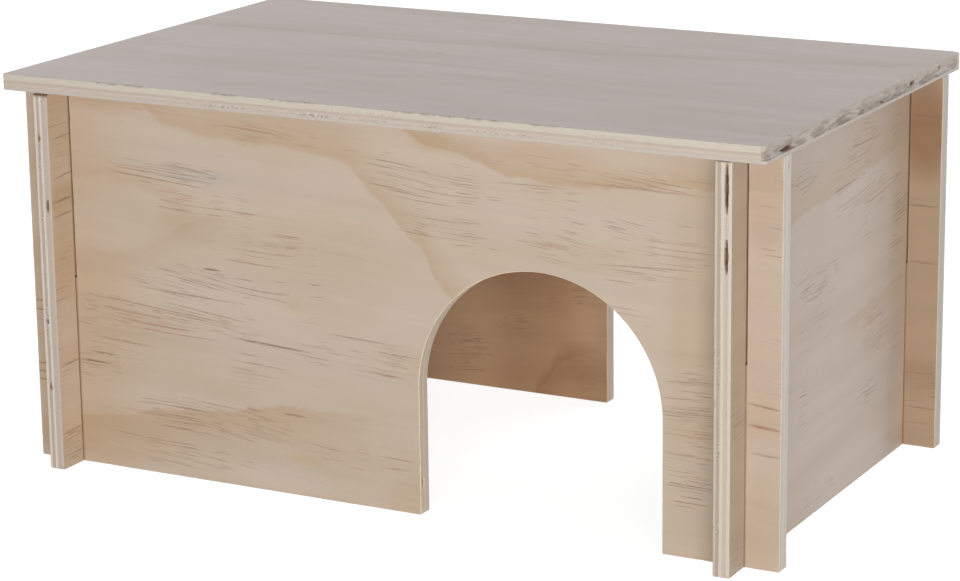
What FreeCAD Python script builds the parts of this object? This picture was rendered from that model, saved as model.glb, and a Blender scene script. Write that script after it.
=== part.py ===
"""Plug-together wooden hamster house: four slotted plywood walls and a loose flat roof.

Frame: +X along the long walls, the doorway wall at -Y, +Z up, origin on the ground under the middle
of the house. Millimetres.
"""
import FreeCAD, Part
import math
import os

import Sketcher

DRIVING_SIZES = {
    "ply": 5.0,                # thickness of every board
    "wall_length": 250.0,      # front and back wall, end to end
    "side_length": 152.0,      # left and right wall, end to end
    "wall_height": 118.5,      # front and back wall
    "side_drop": 0.5,          # how far the short walls end below the long ones
    "corner_overhang": 10.7,   # how far each wall runs on past the face of the wall it crosses
    "slot_clearance": 0.2,     # slot to board, on each side
    "slot_end_gap": 0.25,      # each slot is cut this much past half height
    "door_width": 78.0,
    "door_side_height": 39.0,  # straight sides, up to where the arch springs
    "door_margin": 36.0,       # from the doorway to the wall's right end
    "roof_inset": 0.5,         # roof ends, inside the ends of the long walls
    "roof_overhang": 1.5,      # roof edges, past the ends of the short walls
    "roof_shift": 0.5,         # the loose roof rests this far right of the middle
    "worn_corner": 4.0,        # radius of the roof's worn rear right corner
    "batten_width": 8.0,
    "batten_depth": 8.0,
    "batten_bevel": 1.5,       # lead-in along the batten's lower edges
    "batten_gap": 0.8,         # batten to the short wall, with the roof in the middle
    "batten_end_gap": 1.0,     # batten to the long wall
}

START_POINT = 1
END_POINT = 2
CENTRE_POINT = 3
ORIGIN = (-1, 1)
HORIZONTAL_AXIS = -1
VERTICAL_AXIS = -2

# Expressions used by more than one sub-part
HALF_HEIGHT = "Sizes.wall_height / 2"
INNER_HALF_LENGTH = "Sizes.wall_length / 2 - Sizes.corner_overhang - Sizes.ply"
INNER_HALF_WIDTH = "Sizes.side_length / 2 - Sizes.corner_overhang - Sizes.ply"


def make_sheet(doc):
    """Write the driving sizes into a spreadsheet, one alias per row."""
    sheet = doc.addObject("Spreadsheet::Sheet", "Sizes")
    for row, (name, value) in enumerate(DRIVING_SIZES.items(), start=1):
        sheet.set("A%d" % row, name)
        sheet.set("B%d" % row, str(value))
        sheet.setAlias("B%d" % row, name)
    doc.recompute()
    return sheet


def origin_plane(body, role):
    """Return the origin plane of a body that has this role."""
    for feature in body.Origin.OriginFeatures:
        if feature.Role == role:
            return feature
    raise ValueError("no origin plane " + role)


def new_sketch(body, name, role):
    """Add an empty sketch on one of the body's own origin planes."""
    sketch = body.newObject("Sketcher::SketchObject", name)
    sketch.AttachmentSupport = [(origin_plane(body, role), "")]
    sketch.MapMode = "FlatFace"
    return sketch


def add_line(sketch, start, end):
    """Add a straight edge between two (x, y) points and return its number."""
    line = Part.LineSegment(FreeCAD.Vector(*start, 0), FreeCAD.Vector(*end, 0))
    return sketch.addGeometry(line, False)


def chain_edges(sketch, edges):
    """Join each edge's end to the next edge's start, all the way round."""
    for this, following in zip(edges, edges[1:] + edges[:1]):
        sketch.addConstraint(Sketcher.Constraint("Coincident", this, END_POINT, following, START_POINT))


def bind(sketch, name, constraint, expression):
    """Add a dimension to a sketch, name it and tie it to an expression on the sheet."""
    number = sketch.addConstraint(constraint)
    sketch.renameConstraint(number, name)
    sketch.setExpression("Constraints." + name, expression)


def make_level(sketch, *edges):
    """Keep edges horizontal."""
    for edge in edges:
        sketch.addConstraint(Sketcher.Constraint("Horizontal", edge))


def make_upright(sketch, *edges):
    """Keep edges vertical."""
    for edge in edges:
        sketch.addConstraint(Sketcher.Constraint("Vertical", edge))


def centre_on_axis(sketch, edge):
    """Keep an edge level, with its middle on the sketch's vertical axis."""
    sketch.addConstraint(
        Sketcher.Constraint("Symmetric", edge, START_POINT, edge, END_POINT, VERTICAL_AXIS)
    )


def add_rectangle(sketch, left, low, right, high):
    """Add an upright rectangle, with its lower edge still free to tilt.

    Returns its edges in the order low, right, high, left.
    """
    corners = [(left, low), (right, low), (right, high), (left, high)]
    edges = [add_line(sketch, a, b) for a, b in zip(corners, corners[1:] + corners[:1])]
    chain_edges(sketch, edges)
    make_level(sketch, edges[2])
    make_upright(sketch, edges[1], edges[3])
    return edges


def add_pad(body, sketch, name, length, side_type="Symmetric"):
    """Thicken a sketch by an expression, to both sides alike or to its upper side."""
    pad = body.newObject("PartDesign::Pad", name)
    pad.Profile = sketch
    pad.SideType = side_type
    pad.setExpression("Length", length)
    body.Document.recompute()
    return pad


def add_pocket(body, sketch, name):
    """Cut a sketch right through the board, both ways, and make sure that it cut something."""
    before = body.Shape.Volume
    pocket = body.newObject("PartDesign::Pocket", name)
    pocket.Profile = sketch
    pocket.Type = "ThroughAll"
    pocket.SideType = "Symmetric"
    body.Document.recompute()
    if not body.Shape.Volume < before:
        raise ValueError(name + " cut nothing")
    return pocket


def mirror_feature(body, feature, name, role):
    """Repeat a feature on the other side of one of the body's origin planes."""
    mirrored = body.newObject("PartDesign::Mirrored", name)
    mirrored.Originals = [feature]
    mirrored.MirrorPlane = (origin_plane(body, role), [""])
    body.Tip = mirrored
    body.Document.recompute()
    return mirrored


def place(body, **distances):
    """Tie coordinates of a body's placement to expressions."""
    for axis, expression in distances.items():
        body.setExpression("Placement.Base." + axis, expression)


def make_board(body, role, length, height):
    """Make an upright board that stands on the ground, with its middle on the body's origin.

    length and height are (value, expression) pairs.
    """
    sketch = new_sketch(body, body.Name + "_outline", role)
    half_length = length[0] / 2
    foot, right, _, _ = add_rectangle(sketch, -half_length, 0.0, half_length, height[0])
    centre_on_axis(sketch, foot)
    sketch.addConstraint(Sketcher.Constraint("PointOnObject", foot, START_POINT, HORIZONTAL_AXIS))
    span = Sketcher.Constraint("DistanceX", foot, START_POINT, foot, END_POINT, length[0])
    bind(sketch, "length", span, length[1])
    rise = Sketcher.Constraint("DistanceY", right, START_POINT, right, END_POINT, height[0])
    bind(sketch, "height", rise, height[1])
    add_pad(body, sketch, body.Name + "_board", "Sizes.ply")


def cut_slots(body, role, mirror_role, length, open_at_top):
    """Cut a slot to half height near one end of a board, and mirror it to the other end.

    length is the board's (value, expression) pair.
    """
    sizes = body.Document.Sizes
    far = length[0] / 2 - sizes.corner_overhang + sizes.slot_clearance
    near = far - sizes.ply - 2 * sizes.slot_clearance
    depth = sizes.wall_height / 2 + sizes.slot_end_gap + sizes.ply
    if open_at_top:
        closed_end = sizes.wall_height / 2 - sizes.slot_end_gap
        low, high = closed_end, closed_end + depth
    else:
        closed_end = sizes.wall_height / 2 + sizes.slot_end_gap
        low, high = closed_end - depth, closed_end
    sketch = new_sketch(body, body.Name + "_slot_outline", role)
    foot, right, head, _ = add_rectangle(sketch, near, low, far, high)
    make_level(sketch, foot)
    across = Sketcher.Constraint("DistanceX", foot, START_POINT, foot, END_POINT, far - near)
    bind(sketch, "width", across, "Sizes.ply + 2 * Sizes.slot_clearance")
    outer = Sketcher.Constraint("DistanceX", *ORIGIN, right, START_POINT, far)
    bind(sketch, "place", outer, length[1] + " / 2 - Sizes.corner_overhang + Sizes.slot_clearance")
    rise = Sketcher.Constraint("DistanceY", right, START_POINT, right, END_POINT, depth)
    bind(sketch, "depth", rise, HALF_HEIGHT + " + Sizes.slot_end_gap + Sizes.ply")
    closed_edge = foot if open_at_top else head
    end = Sketcher.Constraint("DistanceY", *ORIGIN, closed_edge, START_POINT, closed_end)
    sign = " - " if open_at_top else " + "
    bind(sketch, "closed_end", end, HALF_HEIGHT + sign + "Sizes.slot_end_gap")
    slot = add_pocket(body, sketch, body.Name + "_slot")
    mirror_feature(body, slot, body.Name + "_slot_pair", mirror_role)


def cut_doorway(body):
    """Cut the arched doorway: two straight sides and a half circle, open at the ground."""
    sizes = body.Document.Sizes
    radius = sizes.door_width / 2
    right = sizes.wall_length / 2 - sizes.door_margin
    left = right - sizes.door_width
    spring = sizes.door_side_height
    below = -sizes.ply
    sketch = new_sketch(body, body.Name + "_doorway_outline", "XZ_Plane")
    foot = add_line(sketch, (left, below), (right, below))
    right_side = add_line(sketch, (right, below), (right, spring))
    circle = Part.Circle(FreeCAD.Vector((left + right) / 2, spring, 0), FreeCAD.Vector(0, 0, 1), radius)
    arch = sketch.addGeometry(Part.ArcOfCircle(circle, 0, math.pi), False)
    left_side = add_line(sketch, (left, spring), (left, below))
    chain_edges(sketch, [foot, right_side, arch, left_side])
    make_level(sketch, foot)
    make_upright(sketch, right_side, left_side)
    sketch.addConstraint(Sketcher.Constraint("Horizontal", arch, CENTRE_POINT, arch, START_POINT))
    sketch.addConstraint(Sketcher.Constraint("Horizontal", arch, CENTRE_POINT, arch, END_POINT))
    bind(sketch, "radius", Sketcher.Constraint("Radius", arch, radius), "Sizes.door_width / 2")
    edge = Sketcher.Constraint("DistanceX", *ORIGIN, right_side, START_POINT, right)
    bind(sketch, "right_edge", edge, "Sizes.wall_length / 2 - Sizes.door_margin")
    rise = Sketcher.Constraint("DistanceY", *ORIGIN, arch, CENTRE_POINT, spring)
    bind(sketch, "spring_height", rise, "Sizes.door_side_height")
    runout = Sketcher.Constraint("DistanceY", foot, START_POINT, *ORIGIN, -below)
    bind(sketch, "runout", runout, "Sizes.ply")
    add_pocket(body, sketch, body.Name + "_doorway")


def make_long_wall(doc, name, side):
    """Make the front (side "-") or back (side "+") wall, with its slots open at the top."""
    body = doc.addObject("PartDesign::Body", name)
    length = (doc.Sizes.wall_length, "Sizes.wall_length")
    height = (doc.Sizes.wall_height, "Sizes.wall_height")
    make_board(body, "XZ_Plane", length, height)
    cut_slots(body, "XZ_Plane", "YZ_Plane", length, open_at_top=True)
    cut_doorway(body)
    place(body, y=side + "(" + INNER_HALF_WIDTH + " + Sizes.ply / 2)")
    return body


def make_short_wall(doc, name, side):
    """Make the left (side "-") or right (side "+") wall, with its slots open at the bottom."""
    sizes = doc.Sizes
    body = doc.addObject("PartDesign::Body", name)
    length = (sizes.side_length, "Sizes.side_length")
    height = (sizes.wall_height - sizes.side_drop, "Sizes.wall_height - Sizes.side_drop")
    make_board(body, "YZ_Plane", length, height)
    cut_slots(body, "YZ_Plane", "XZ_Plane", length, open_at_top=False)
    place(body, x=side + "(" + INNER_HALF_LENGTH + " + Sizes.ply / 2)")
    return body


def make_roof(doc):
    """Make the flat roof board, with one worn corner at the rear right."""
    sizes = doc.Sizes
    body = doc.addObject("PartDesign::Body", "roof_panel")
    half_length = sizes.wall_length / 2 - sizes.roof_inset
    half_width = sizes.side_length / 2 + sizes.roof_overhang
    radius = sizes.worn_corner
    sketch = new_sketch(body, "roof_outline", "XY_Plane")
    front = add_line(sketch, (-half_length, -half_width), (half_length, -half_width))
    right = add_line(sketch, (half_length, -half_width), (half_length, half_width - radius))
    centre = FreeCAD.Vector(half_length - radius, half_width - radius, 0)
    circle = Part.Circle(centre, FreeCAD.Vector(0, 0, 1), radius)
    corner = sketch.addGeometry(Part.ArcOfCircle(circle, 0, math.pi / 2), False)
    back = add_line(sketch, (half_length - radius, half_width), (-half_length, half_width))
    left = add_line(sketch, (-half_length, half_width), (-half_length, -half_width))
    chain_edges(sketch, [front, right, corner, back, left])
    make_level(sketch, back)
    make_upright(sketch, right, left)
    sketch.addConstraint(Sketcher.Constraint("Horizontal", corner, CENTRE_POINT, corner, START_POINT))
    sketch.addConstraint(Sketcher.Constraint("Vertical", corner, CENTRE_POINT, corner, END_POINT))
    centre_on_axis(sketch, front)
    bind(sketch, "corner", Sketcher.Constraint("Radius", corner, radius), "Sizes.worn_corner")
    length = Sketcher.Constraint("DistanceX", front, START_POINT, front, END_POINT, 2 * half_length)
    bind(sketch, "length", length, "Sizes.wall_length - 2 * Sizes.roof_inset")
    width = Sketcher.Constraint("DistanceY", left, END_POINT, left, START_POINT, 2 * half_width)
    bind(sketch, "width", width, "Sizes.side_length + 2 * Sizes.roof_overhang")
    reach = Sketcher.Constraint("DistanceY", front, START_POINT, *ORIGIN, half_width)
    bind(sketch, "front_edge", reach, "Sizes.side_length / 2 + Sizes.roof_overhang")
    add_pad(body, sketch, "roof_board", "Sizes.ply", "One side")
    place(body, x="Sizes.roof_shift", z="Sizes.wall_height")
    return body


def make_batten(doc, name, side):
    """Make one strip under the roof, just inside the left ("-") or right ("+") wall."""
    sizes = doc.Sizes
    half_width = sizes.batten_width / 2
    depth = sizes.batten_depth
    bevel = sizes.batten_bevel
    body = doc.addObject("PartDesign::Body", name)
    sketch = new_sketch(body, name + "_section", "XZ_Plane")
    corners = [
        (-half_width, 0.0),
        (-half_width, bevel - depth),
        (bevel - half_width, -depth),
        (half_width - bevel, -depth),
        (half_width, bevel - depth),
        (half_width, 0.0),
    ]
    edges = [add_line(sketch, a, b) for a, b in zip(corners, corners[1:] + corners[:1])]
    chain_edges(sketch, edges)
    left, left_bevel, foot, _, right, top = edges
    make_upright(sketch, left, right)
    sketch.addConstraint(Sketcher.Constraint("PointOnObject", top, START_POINT, HORIZONTAL_AXIS))
    centre_on_axis(sketch, top)
    centre_on_axis(sketch, foot)
    across = Sketcher.Constraint("DistanceX", top, END_POINT, top, START_POINT, 2 * half_width)
    bind(sketch, "width", across, "Sizes.batten_width")
    drop = Sketcher.Constraint("DistanceY", foot, START_POINT, top, END_POINT, depth)
    bind(sketch, "depth", drop, "Sizes.batten_depth")
    inward = Sketcher.Constraint("DistanceX", left_bevel, START_POINT, left_bevel, END_POINT, bevel)
    bind(sketch, "bevel_across", inward, "Sizes.batten_bevel")
    upward = Sketcher.Constraint("DistanceY", left_bevel, END_POINT, left_bevel, START_POINT, bevel)
    bind(sketch, "bevel_up", upward, "Sizes.batten_bevel")
    sketch.addConstraint(Sketcher.Constraint("Equal", left, right))
    add_pad(body, sketch, name + "_strip", "2 * (" + INNER_HALF_WIDTH + " - Sizes.batten_end_gap)")
    offset = INNER_HALF_LENGTH + " - Sizes.batten_gap - Sizes.batten_width / 2"
    place(body, x="Sizes.roof_shift " + side + " (" + offset + ")", z="Sizes.wall_height")
    return body


def check_document(doc):
    """Stop if any object of the document failed to build."""
    for item in doc.Objects:
        if "Invalid" in item.State or "Error" in item.State:
            raise ValueError(item.Name + " failed: " + str(item.State))


def export(bodies):
    """Write each sub-part, placed, to its own STEP file."""
    os.makedirs("parts", exist_ok=True)
    for body in bodies:
        shape = body.Shape
        if shape.isNull() or not shape.isValid() or len(shape.Solids) != 1:
            raise ValueError(body.Label + " is not one valid solid")
        shape.exportStep("parts/" + body.Label + ".step")
        print("%-20s %9.1f mm3  %s" % (body.Label, shape.Volume, shape.BoundBox))


def main():
    """Build the whole house and write its sub-parts."""
    doc = FreeCAD.newDocument("HamsterHouse")
    make_sheet(doc)
    bodies = [
        make_long_wall(doc, "front_panel", "-"),
        make_long_wall(doc, "back_panel", "+"),
        make_short_wall(doc, "left_panel", "-"),
        make_short_wall(doc, "right_panel", "+"),
        make_roof(doc),
        make_batten(doc, "roof_batten_left", "-"),
        make_batten(doc, "roof_batten_right", "+"),
    ]
    doc.recompute()
    check_document(doc)
    export(bodies)


main()
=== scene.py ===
"""Looks of a plug-together wooden hamster house: five plywood boards and two strips under the roof.

Each board is rebuilt over its CAD node with worn arrises, five plies that show on every cut edge, open
gaps in the inner plies and small chips. Lengths are metres, except for the marks on a board and the
shader expressions that draw them, which are in millimetres, as a joiner would set them out. +X runs
along the long walls, +Z is up.
"""

import logging
import math
from dataclasses import dataclass, field
from enum import Enum
from typing import Any, Iterable, Optional, Sequence, Union

import bpy
import numpy as np
from mathutils import Euler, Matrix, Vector, noise

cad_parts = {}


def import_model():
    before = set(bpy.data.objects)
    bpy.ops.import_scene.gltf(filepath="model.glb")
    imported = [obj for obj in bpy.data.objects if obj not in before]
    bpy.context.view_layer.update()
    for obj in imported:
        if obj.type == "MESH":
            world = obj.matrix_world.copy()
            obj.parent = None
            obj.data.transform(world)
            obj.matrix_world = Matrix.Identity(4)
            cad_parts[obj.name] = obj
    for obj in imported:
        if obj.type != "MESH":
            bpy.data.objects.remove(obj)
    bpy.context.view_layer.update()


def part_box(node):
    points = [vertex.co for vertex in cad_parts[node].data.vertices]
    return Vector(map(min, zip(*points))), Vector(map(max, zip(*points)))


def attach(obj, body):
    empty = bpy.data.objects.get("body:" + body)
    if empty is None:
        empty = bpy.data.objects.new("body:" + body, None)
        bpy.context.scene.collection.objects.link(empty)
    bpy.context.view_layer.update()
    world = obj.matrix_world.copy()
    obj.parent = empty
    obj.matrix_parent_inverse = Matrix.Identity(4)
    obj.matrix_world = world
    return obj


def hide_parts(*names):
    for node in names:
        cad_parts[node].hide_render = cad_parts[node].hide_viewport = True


LOG = logging.getLogger("hamster_house")
MM = 0.001
PLIES = 5
ARRIS_STEPS = 3

Colour = tuple[float, float, float]
Point = tuple[float, float]


class Lie(Enum):
    """How a board lies: the axes along its face grain, across it and through the board."""

    LONG_WALL = (0, 2, 1)
    SHORT_WALL = (1, 2, 0)
    FLAT = (0, 1, 2)

    @property
    def along(self) -> int:
        """Axis that the face grain follows."""
        return self.value[0]

    @property
    def across(self) -> int:
        """Axis across the face grain, in the plane of the face."""
        return self.value[1]

    @property
    def through(self) -> int:
        """Axis through the thickness."""
        return self.value[2]

    def stretch(self, through: float, within: float) -> tuple[float, ...]:
        """X, Y and Z scale of a pattern: one number through the board, another within its plane."""
        return tuple(through if axis == self.through else within for axis in range(3))


# --- Shader expressions ---------------------------------------------------------------------------


class Wire:
    """A node's output, for use in expressions: every operator adds the node that works it out."""

    def __init__(self, graph: "Graph", socket: bpy.types.NodeSocket) -> None:
        """Wrap one output.

        Args:
            graph: The graph that the node belongs to.
            socket: The node's output.
        """
        self.graph = graph
        self.socket = socket

    @property
    def has_parts(self) -> bool:
        """True for a colour or a vector."""
        return self.socket.type in ("RGBA", "VECTOR")

    def _operate(self, operation: str, first: "Operand", second: "Operand") -> "Wire":
        """Add the node for one operator.

        Args:
            operation: Name of the Math or Vector Math operation.
            first: Left side of the operator.
            second: Right side of the operator.

        Returns:
            The result.
        """
        wires = [item for item in (first, second) if isinstance(item, Wire)]
        if any(wire.has_parts for wire in wires):
            return self.graph.vector_maths(operation, first, second)
        return self.graph.maths(operation, first, second)

    def __add__(self, other: "Operand") -> "Wire":
        """self + other."""
        return self._operate("ADD", self, other)

    def __radd__(self, other: "Operand") -> "Wire":
        """other + self."""
        return self._operate("ADD", other, self)

    def __sub__(self, other: "Operand") -> "Wire":
        """self - other."""
        return self._operate("SUBTRACT", self, other)

    def __rsub__(self, other: "Operand") -> "Wire":
        """other - self."""
        return self._operate("SUBTRACT", other, self)

    def __mul__(self, other: "Operand") -> "Wire":
        """self * other."""
        return self._operate("MULTIPLY", self, other)

    def __rmul__(self, other: "Operand") -> "Wire":
        """other * self."""
        return self._operate("MULTIPLY", other, self)


Operand = Union[Wire, float, Colour]


class Graph:
    """The node tree of one material or of the world, built by expressions."""

    def __init__(self, tree: bpy.types.NodeTree) -> None:
        """Start from an empty tree.

        Args:
            tree: The node tree to fill.
        """
        self.tree = tree
        tree.nodes.clear()

    def node(
        self,
        kind: str,
        settings: Optional[dict[str, Any]] = None,
        inputs: Optional[dict[Union[str, int], Any]] = None,
    ) -> bpy.types.Node:
        """Add any node.

        Args:
            kind: Blender's name of the node type.
            settings: The node's own settings, set first. "stops" gives a ramp's (place, colour) pairs
                and "points" a curve's (x, y) points.
            inputs: Values or wires for its input sockets, by name or number.

        Returns:
            The new node.
        """
        made = self.tree.nodes.new(kind)
        for name, value in (settings or {}).items():
            if name == "stops":
                self._set_stops(made.color_ramp, value)
            elif name == "points":
                self._set_points(made.mapping, value)
            else:
                setattr(made, name, value)
        for name, value in (inputs or {}).items():
            if isinstance(value, Wire):
                self.tree.links.new(value.socket, made.inputs[name])
            else:
                made.inputs[name].default_value = self._fitted(made.inputs[name], value)
        return made

    @staticmethod
    def _fitted(socket: bpy.types.NodeSocket, value: Any) -> Any:
        """Give a colour socket the fourth number that it needs.

        Args:
            socket: The socket that the value is for.
            value: A number, or the parts of a colour or a vector.

        Returns:
            The value as the socket takes it.
        """
        if socket.type == "RGBA" and len(value) == 3:
            return (*value, 1.0)
        return value

    @staticmethod
    def _set_stops(ramp: bpy.types.ColorRamp, stops: Sequence[tuple[float, Colour]]) -> None:
        """Give a colour ramp its stops.

        Args:
            ramp: The ramp.
            stops: (place, colour) pairs, in rising order.
        """
        while len(ramp.elements) > 1:
            ramp.elements.remove(ramp.elements[-1])
        ramp.elements[0].position, ramp.elements[0].color = stops[0][0], (*stops[0][1], 1.0)
        for place, colour in stops[1:]:
            ramp.elements.new(place).color = (*colour, 1.0)

    @staticmethod
    def _set_points(mapping: bpy.types.CurveMapping, points: Sequence[Point]) -> None:
        """Give a curve its points.

        Args:
            mapping: The curve's mapping, as Blender makes it, with two points.
            points: The (x, y) points, in rising order.
        """
        curve = mapping.curves[0]
        curve.points[0].location = points[0]
        curve.points[1].location = points[-1]
        for point in points[1:-1]:
            curve.points.new(*point)
        mapping.update()

    def wire(self, node: bpy.types.Node, output: Union[str, int] = 0) -> Wire:
        """One output of a node."""
        return Wire(self, node.outputs[output])

    def maths(self, operation: str, *values: Union[Wire, float]) -> Wire:
        """Work out a number."""
        return self.wire(self.node("ShaderNodeMath", {"operation": operation}, dict(enumerate(values))))

    def vector_maths(self, operation: str, *values: Operand) -> Wire:
        """Work out a vector or a colour, part by part.

        Args:
            operation: Name of the Vector Math operation.
            values: Its inputs, where a number stands for three equal parts.

        Returns:
            The result.
        """
        parts = [value if isinstance(value, (Wire, tuple)) else (value,) * 3 for value in values]
        made = self.node("ShaderNodeVectorMath", {"operation": operation}, dict(enumerate(parts)))
        return self.wire(made)

    def place(self) -> list[Wire]:
        """Look up the shaded point.

        Returns:
            Its X, Y and Z, in millimetres.
        """
        metres = self.wire(self.node("ShaderNodeTexCoord"), "Object")
        parts = self.node("ShaderNodeSeparateXYZ", inputs={"Vector": metres * (1 / MM)})
        return [self.wire(parts, name) for name in ("X", "Y", "Z")]

    def join(self, x: Operand, y: Operand, z: Operand = 0.0) -> Wire:
        """A vector from three numbers."""
        return self.wire(self.node("ShaderNodeCombineXYZ", inputs={"X": x, "Y": y, "Z": z}))

    def length(self, vector: Wire) -> Wire:
        """Length of a vector."""
        return self.wire(self.node("ShaderNodeVectorMath", {"operation": "LENGTH"}, {0: vector}), "Value")

    def cloud(self, vector: Wire, detail: float = 2.0, rough: float = 0.5) -> Wire:
        """Smooth noise from 0 to 1, one unit to a cell.

        Args:
            vector: Where to look it up.
            detail: Number of finer layers.
            rough: Share of each finer layer.

        Returns:
            The noise.
        """
        made = self.node(
            "ShaderNodeTexNoise",
            {"noise_dimensions": "3D"},
            {"Vector": vector, "Scale": 1.0, "Detail": detail, "Roughness": rough},
        )
        return self.wire(made)

    def step(self, value: Wire, low: float, high: float) -> Wire:
        """Turn a number into a smooth rise, or into a fall where low is above high.

        Args:
            value: The number.
            low: Where the result is 0.
            high: Where it is 1.

        Returns:
            The result, from 0 to 1.
        """
        settings = {"interpolation_type": "SMOOTHSTEP"}
        inputs = {"Value": value, "From Min": min(low, high), "From Max": max(low, high)}
        if low > high:
            inputs |= {"To Min": 1.0, "To Max": 0.0}
        return self.wire(self.node("ShaderNodeMapRange", settings, inputs))

    def mix(self, first: Operand, second: Operand, share: Operand) -> Wire:
        """A colour between two colours.

        Args:
            first: The colour at share 0.
            second: The colour at share 1.
            share: Share of the second colour.

        Returns:
            The mixed colour.
        """
        made = self.node("ShaderNodeMix", {"data_type": "RGBA"}, {0: share, 6: first, 7: second})
        return self.wire(made, 2)

    def ramp(self, value: Wire, stops: Sequence[tuple[float, Colour]]) -> Wire:
        """A colour that follows a number."""
        return self.wire(self.node("ShaderNodeValToRGB", {"stops": stops}, {"Fac": value}))

    def attribute(self, name: str) -> Wire:
        """A number that the mesh carries at each of its points."""
        return self.wire(self.node("ShaderNodeAttribute", {"attribute_name": name}), "Fac")

    def bump(self, height: Wire, strength: float, distance: float) -> Wire:
        """Surface relief from a height.

        Args:
            height: The height.
            strength: Share of the relief that shows.
            distance: Real height of 1, in metres.

        Returns:
            The normal.
        """
        inputs = {"Height": height, "Strength": strength, "Distance": distance}
        return self.wire(self.node("ShaderNodeBump", inputs=inputs))

    def finish(self, **shader: Any) -> None:
        """End in a Principled shader.

        Args:
            shader: Its sockets' values, with _ for a space in a name.
        """
        inputs = {name.replace("_", " "): value for name, value in shader.items()}
        made = self.node("ShaderNodeBsdfPrincipled", inputs=inputs)
        self.node("ShaderNodeOutputMaterial", inputs={"Surface": self.wire(made)})


def new_material(name: str) -> tuple[bpy.types.Material, Graph]:
    """Start a material.

    Args:
        name: Its name.

    Returns:
        The material and the empty graph of its nodes.
    """
    made = bpy.data.materials.new(name)
    made.use_nodes = True
    return made, Graph(made.node_tree)


def put_in_scene(name: str, data: bpy.types.ID) -> bpy.types.Object:
    """Make an object and link it to the scene.

    Args:
        name: Its name.
        data: The mesh, lamp or camera that it holds.

    Returns:
        The object.
    """
    made = bpy.data.objects.new(name, data)
    bpy.context.scene.collection.objects.link(made)
    return made


# --- Finishes -------------------------------------------------------------------------------------


@dataclass(frozen=True)
class Mottle:
    """Smooth noise over a face, with so many cells to a millimetre along and across the grain."""

    along: float
    across: float
    shift: float = 0.0
    detail: float = 2.0
    rough: float = 0.5

    def over(self, along: Wire, across: Wire, seed: float) -> Wire:
        """Spread the noise over a face.

        Args:
            along: Millimetres along the grain.
            across: Millimetres across the grain.
            seed: Chooses the pattern, together with shift.

        Returns:
            The noise, from 0 to 1.
        """
        spot = along.graph.join(along * self.along, across * self.across, seed + self.shift)
        return along.graph.cloud(spot, self.detail, self.rough)


@dataclass(frozen=True)
class GrowthLine:
    """The edge of one growth ring on a face, in millimetres, with the ring's tan fading from it.

    points are (along, across), from low to high along. The tan lies above the line, or below it where
    fade is negative. The edge is blur wide, and the ring dies away over soft past each end of reach.
    """

    points: tuple[Point, ...]
    fade: float
    strength: float = 1.0
    reach: Point = (-200.0, 200.0)
    soft: float = 14.0
    blur: float = 1.5

    CURVE_REACH = 140.0
    CURVE_LOW = -100.0
    CURVE_SPAN = 260.0
    WANDER = 5.0

    def tan(self, along: Wire, level: Wire, rough: Wire) -> Wire:
        """Work out how tan the ring makes the face.

        Args:
            along: Millimetres along the face.
            level: Millimetres across it.
            rough: Noise about 0, which makes the edge uneven.

        Returns:
            The share of tan, from 0 to the line's strength.
        """
        graph = along.graph
        points = [
            (0.5 + x * 0.5 / self.CURVE_REACH, (y - self.CURVE_LOW) / self.CURVE_SPAN)
            for x, y in self.points
        ]
        position = (along + self.CURVE_REACH) * (0.5 / self.CURVE_REACH)
        curve = graph.node("ShaderNodeFloatCurve", {"points": points}, {"Value": position})
        edge = graph.wire(curve) * self.CURVE_SPAN + self.CURVE_LOW
        above = (level - edge + rough * self.WANDER) * math.copysign(1.0, self.fade)
        band = graph.step(above, 0.0, self.blur) * graph.step(above, abs(self.fade), 0.0)
        first, last = self.reach
        ends = graph.step(along, first - self.soft, first) * graph.step(along, last + self.soft, last)
        return band * ends * self.strength


@dataclass(frozen=True)
class Oval:
    """A soft oval of a face, in millimetres, for whatever is laid on it."""

    along: float
    across: float
    half_length: float
    half_width: float

    CORE = 0.35
    RIM = 1.15

    def share(self, place: Wire) -> Wire:
        """1 in the middle of the oval, falling to 0 past its rim.

        Args:
            place: (along, across) of the shaded point, in millimetres.

        Returns:
            The share.
        """
        away = (place - (self.along, self.across, 0.0)) * (1 / self.half_length, 1 / self.half_width, 1.0)
        return place.graph.step(place.graph.length(away), self.RIM, self.CORE)


@dataclass(frozen=True)
class StreakPatch(Oval):
    """Where short dark streaks lie close together."""

    density: float = 0.6


@dataclass(frozen=True)
class StainAndPaintedLight(Oval):
    """Where a face has another colour: stained wood, painted light and painted shade."""

    colour: Colour = (0.40, 0.27, 0.16)
    amount: float = 0.4


@dataclass(frozen=True)
class Streak(Oval):
    """One long dark streak."""

    slope: float = 0.05
    strength: float = 0.7


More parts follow.
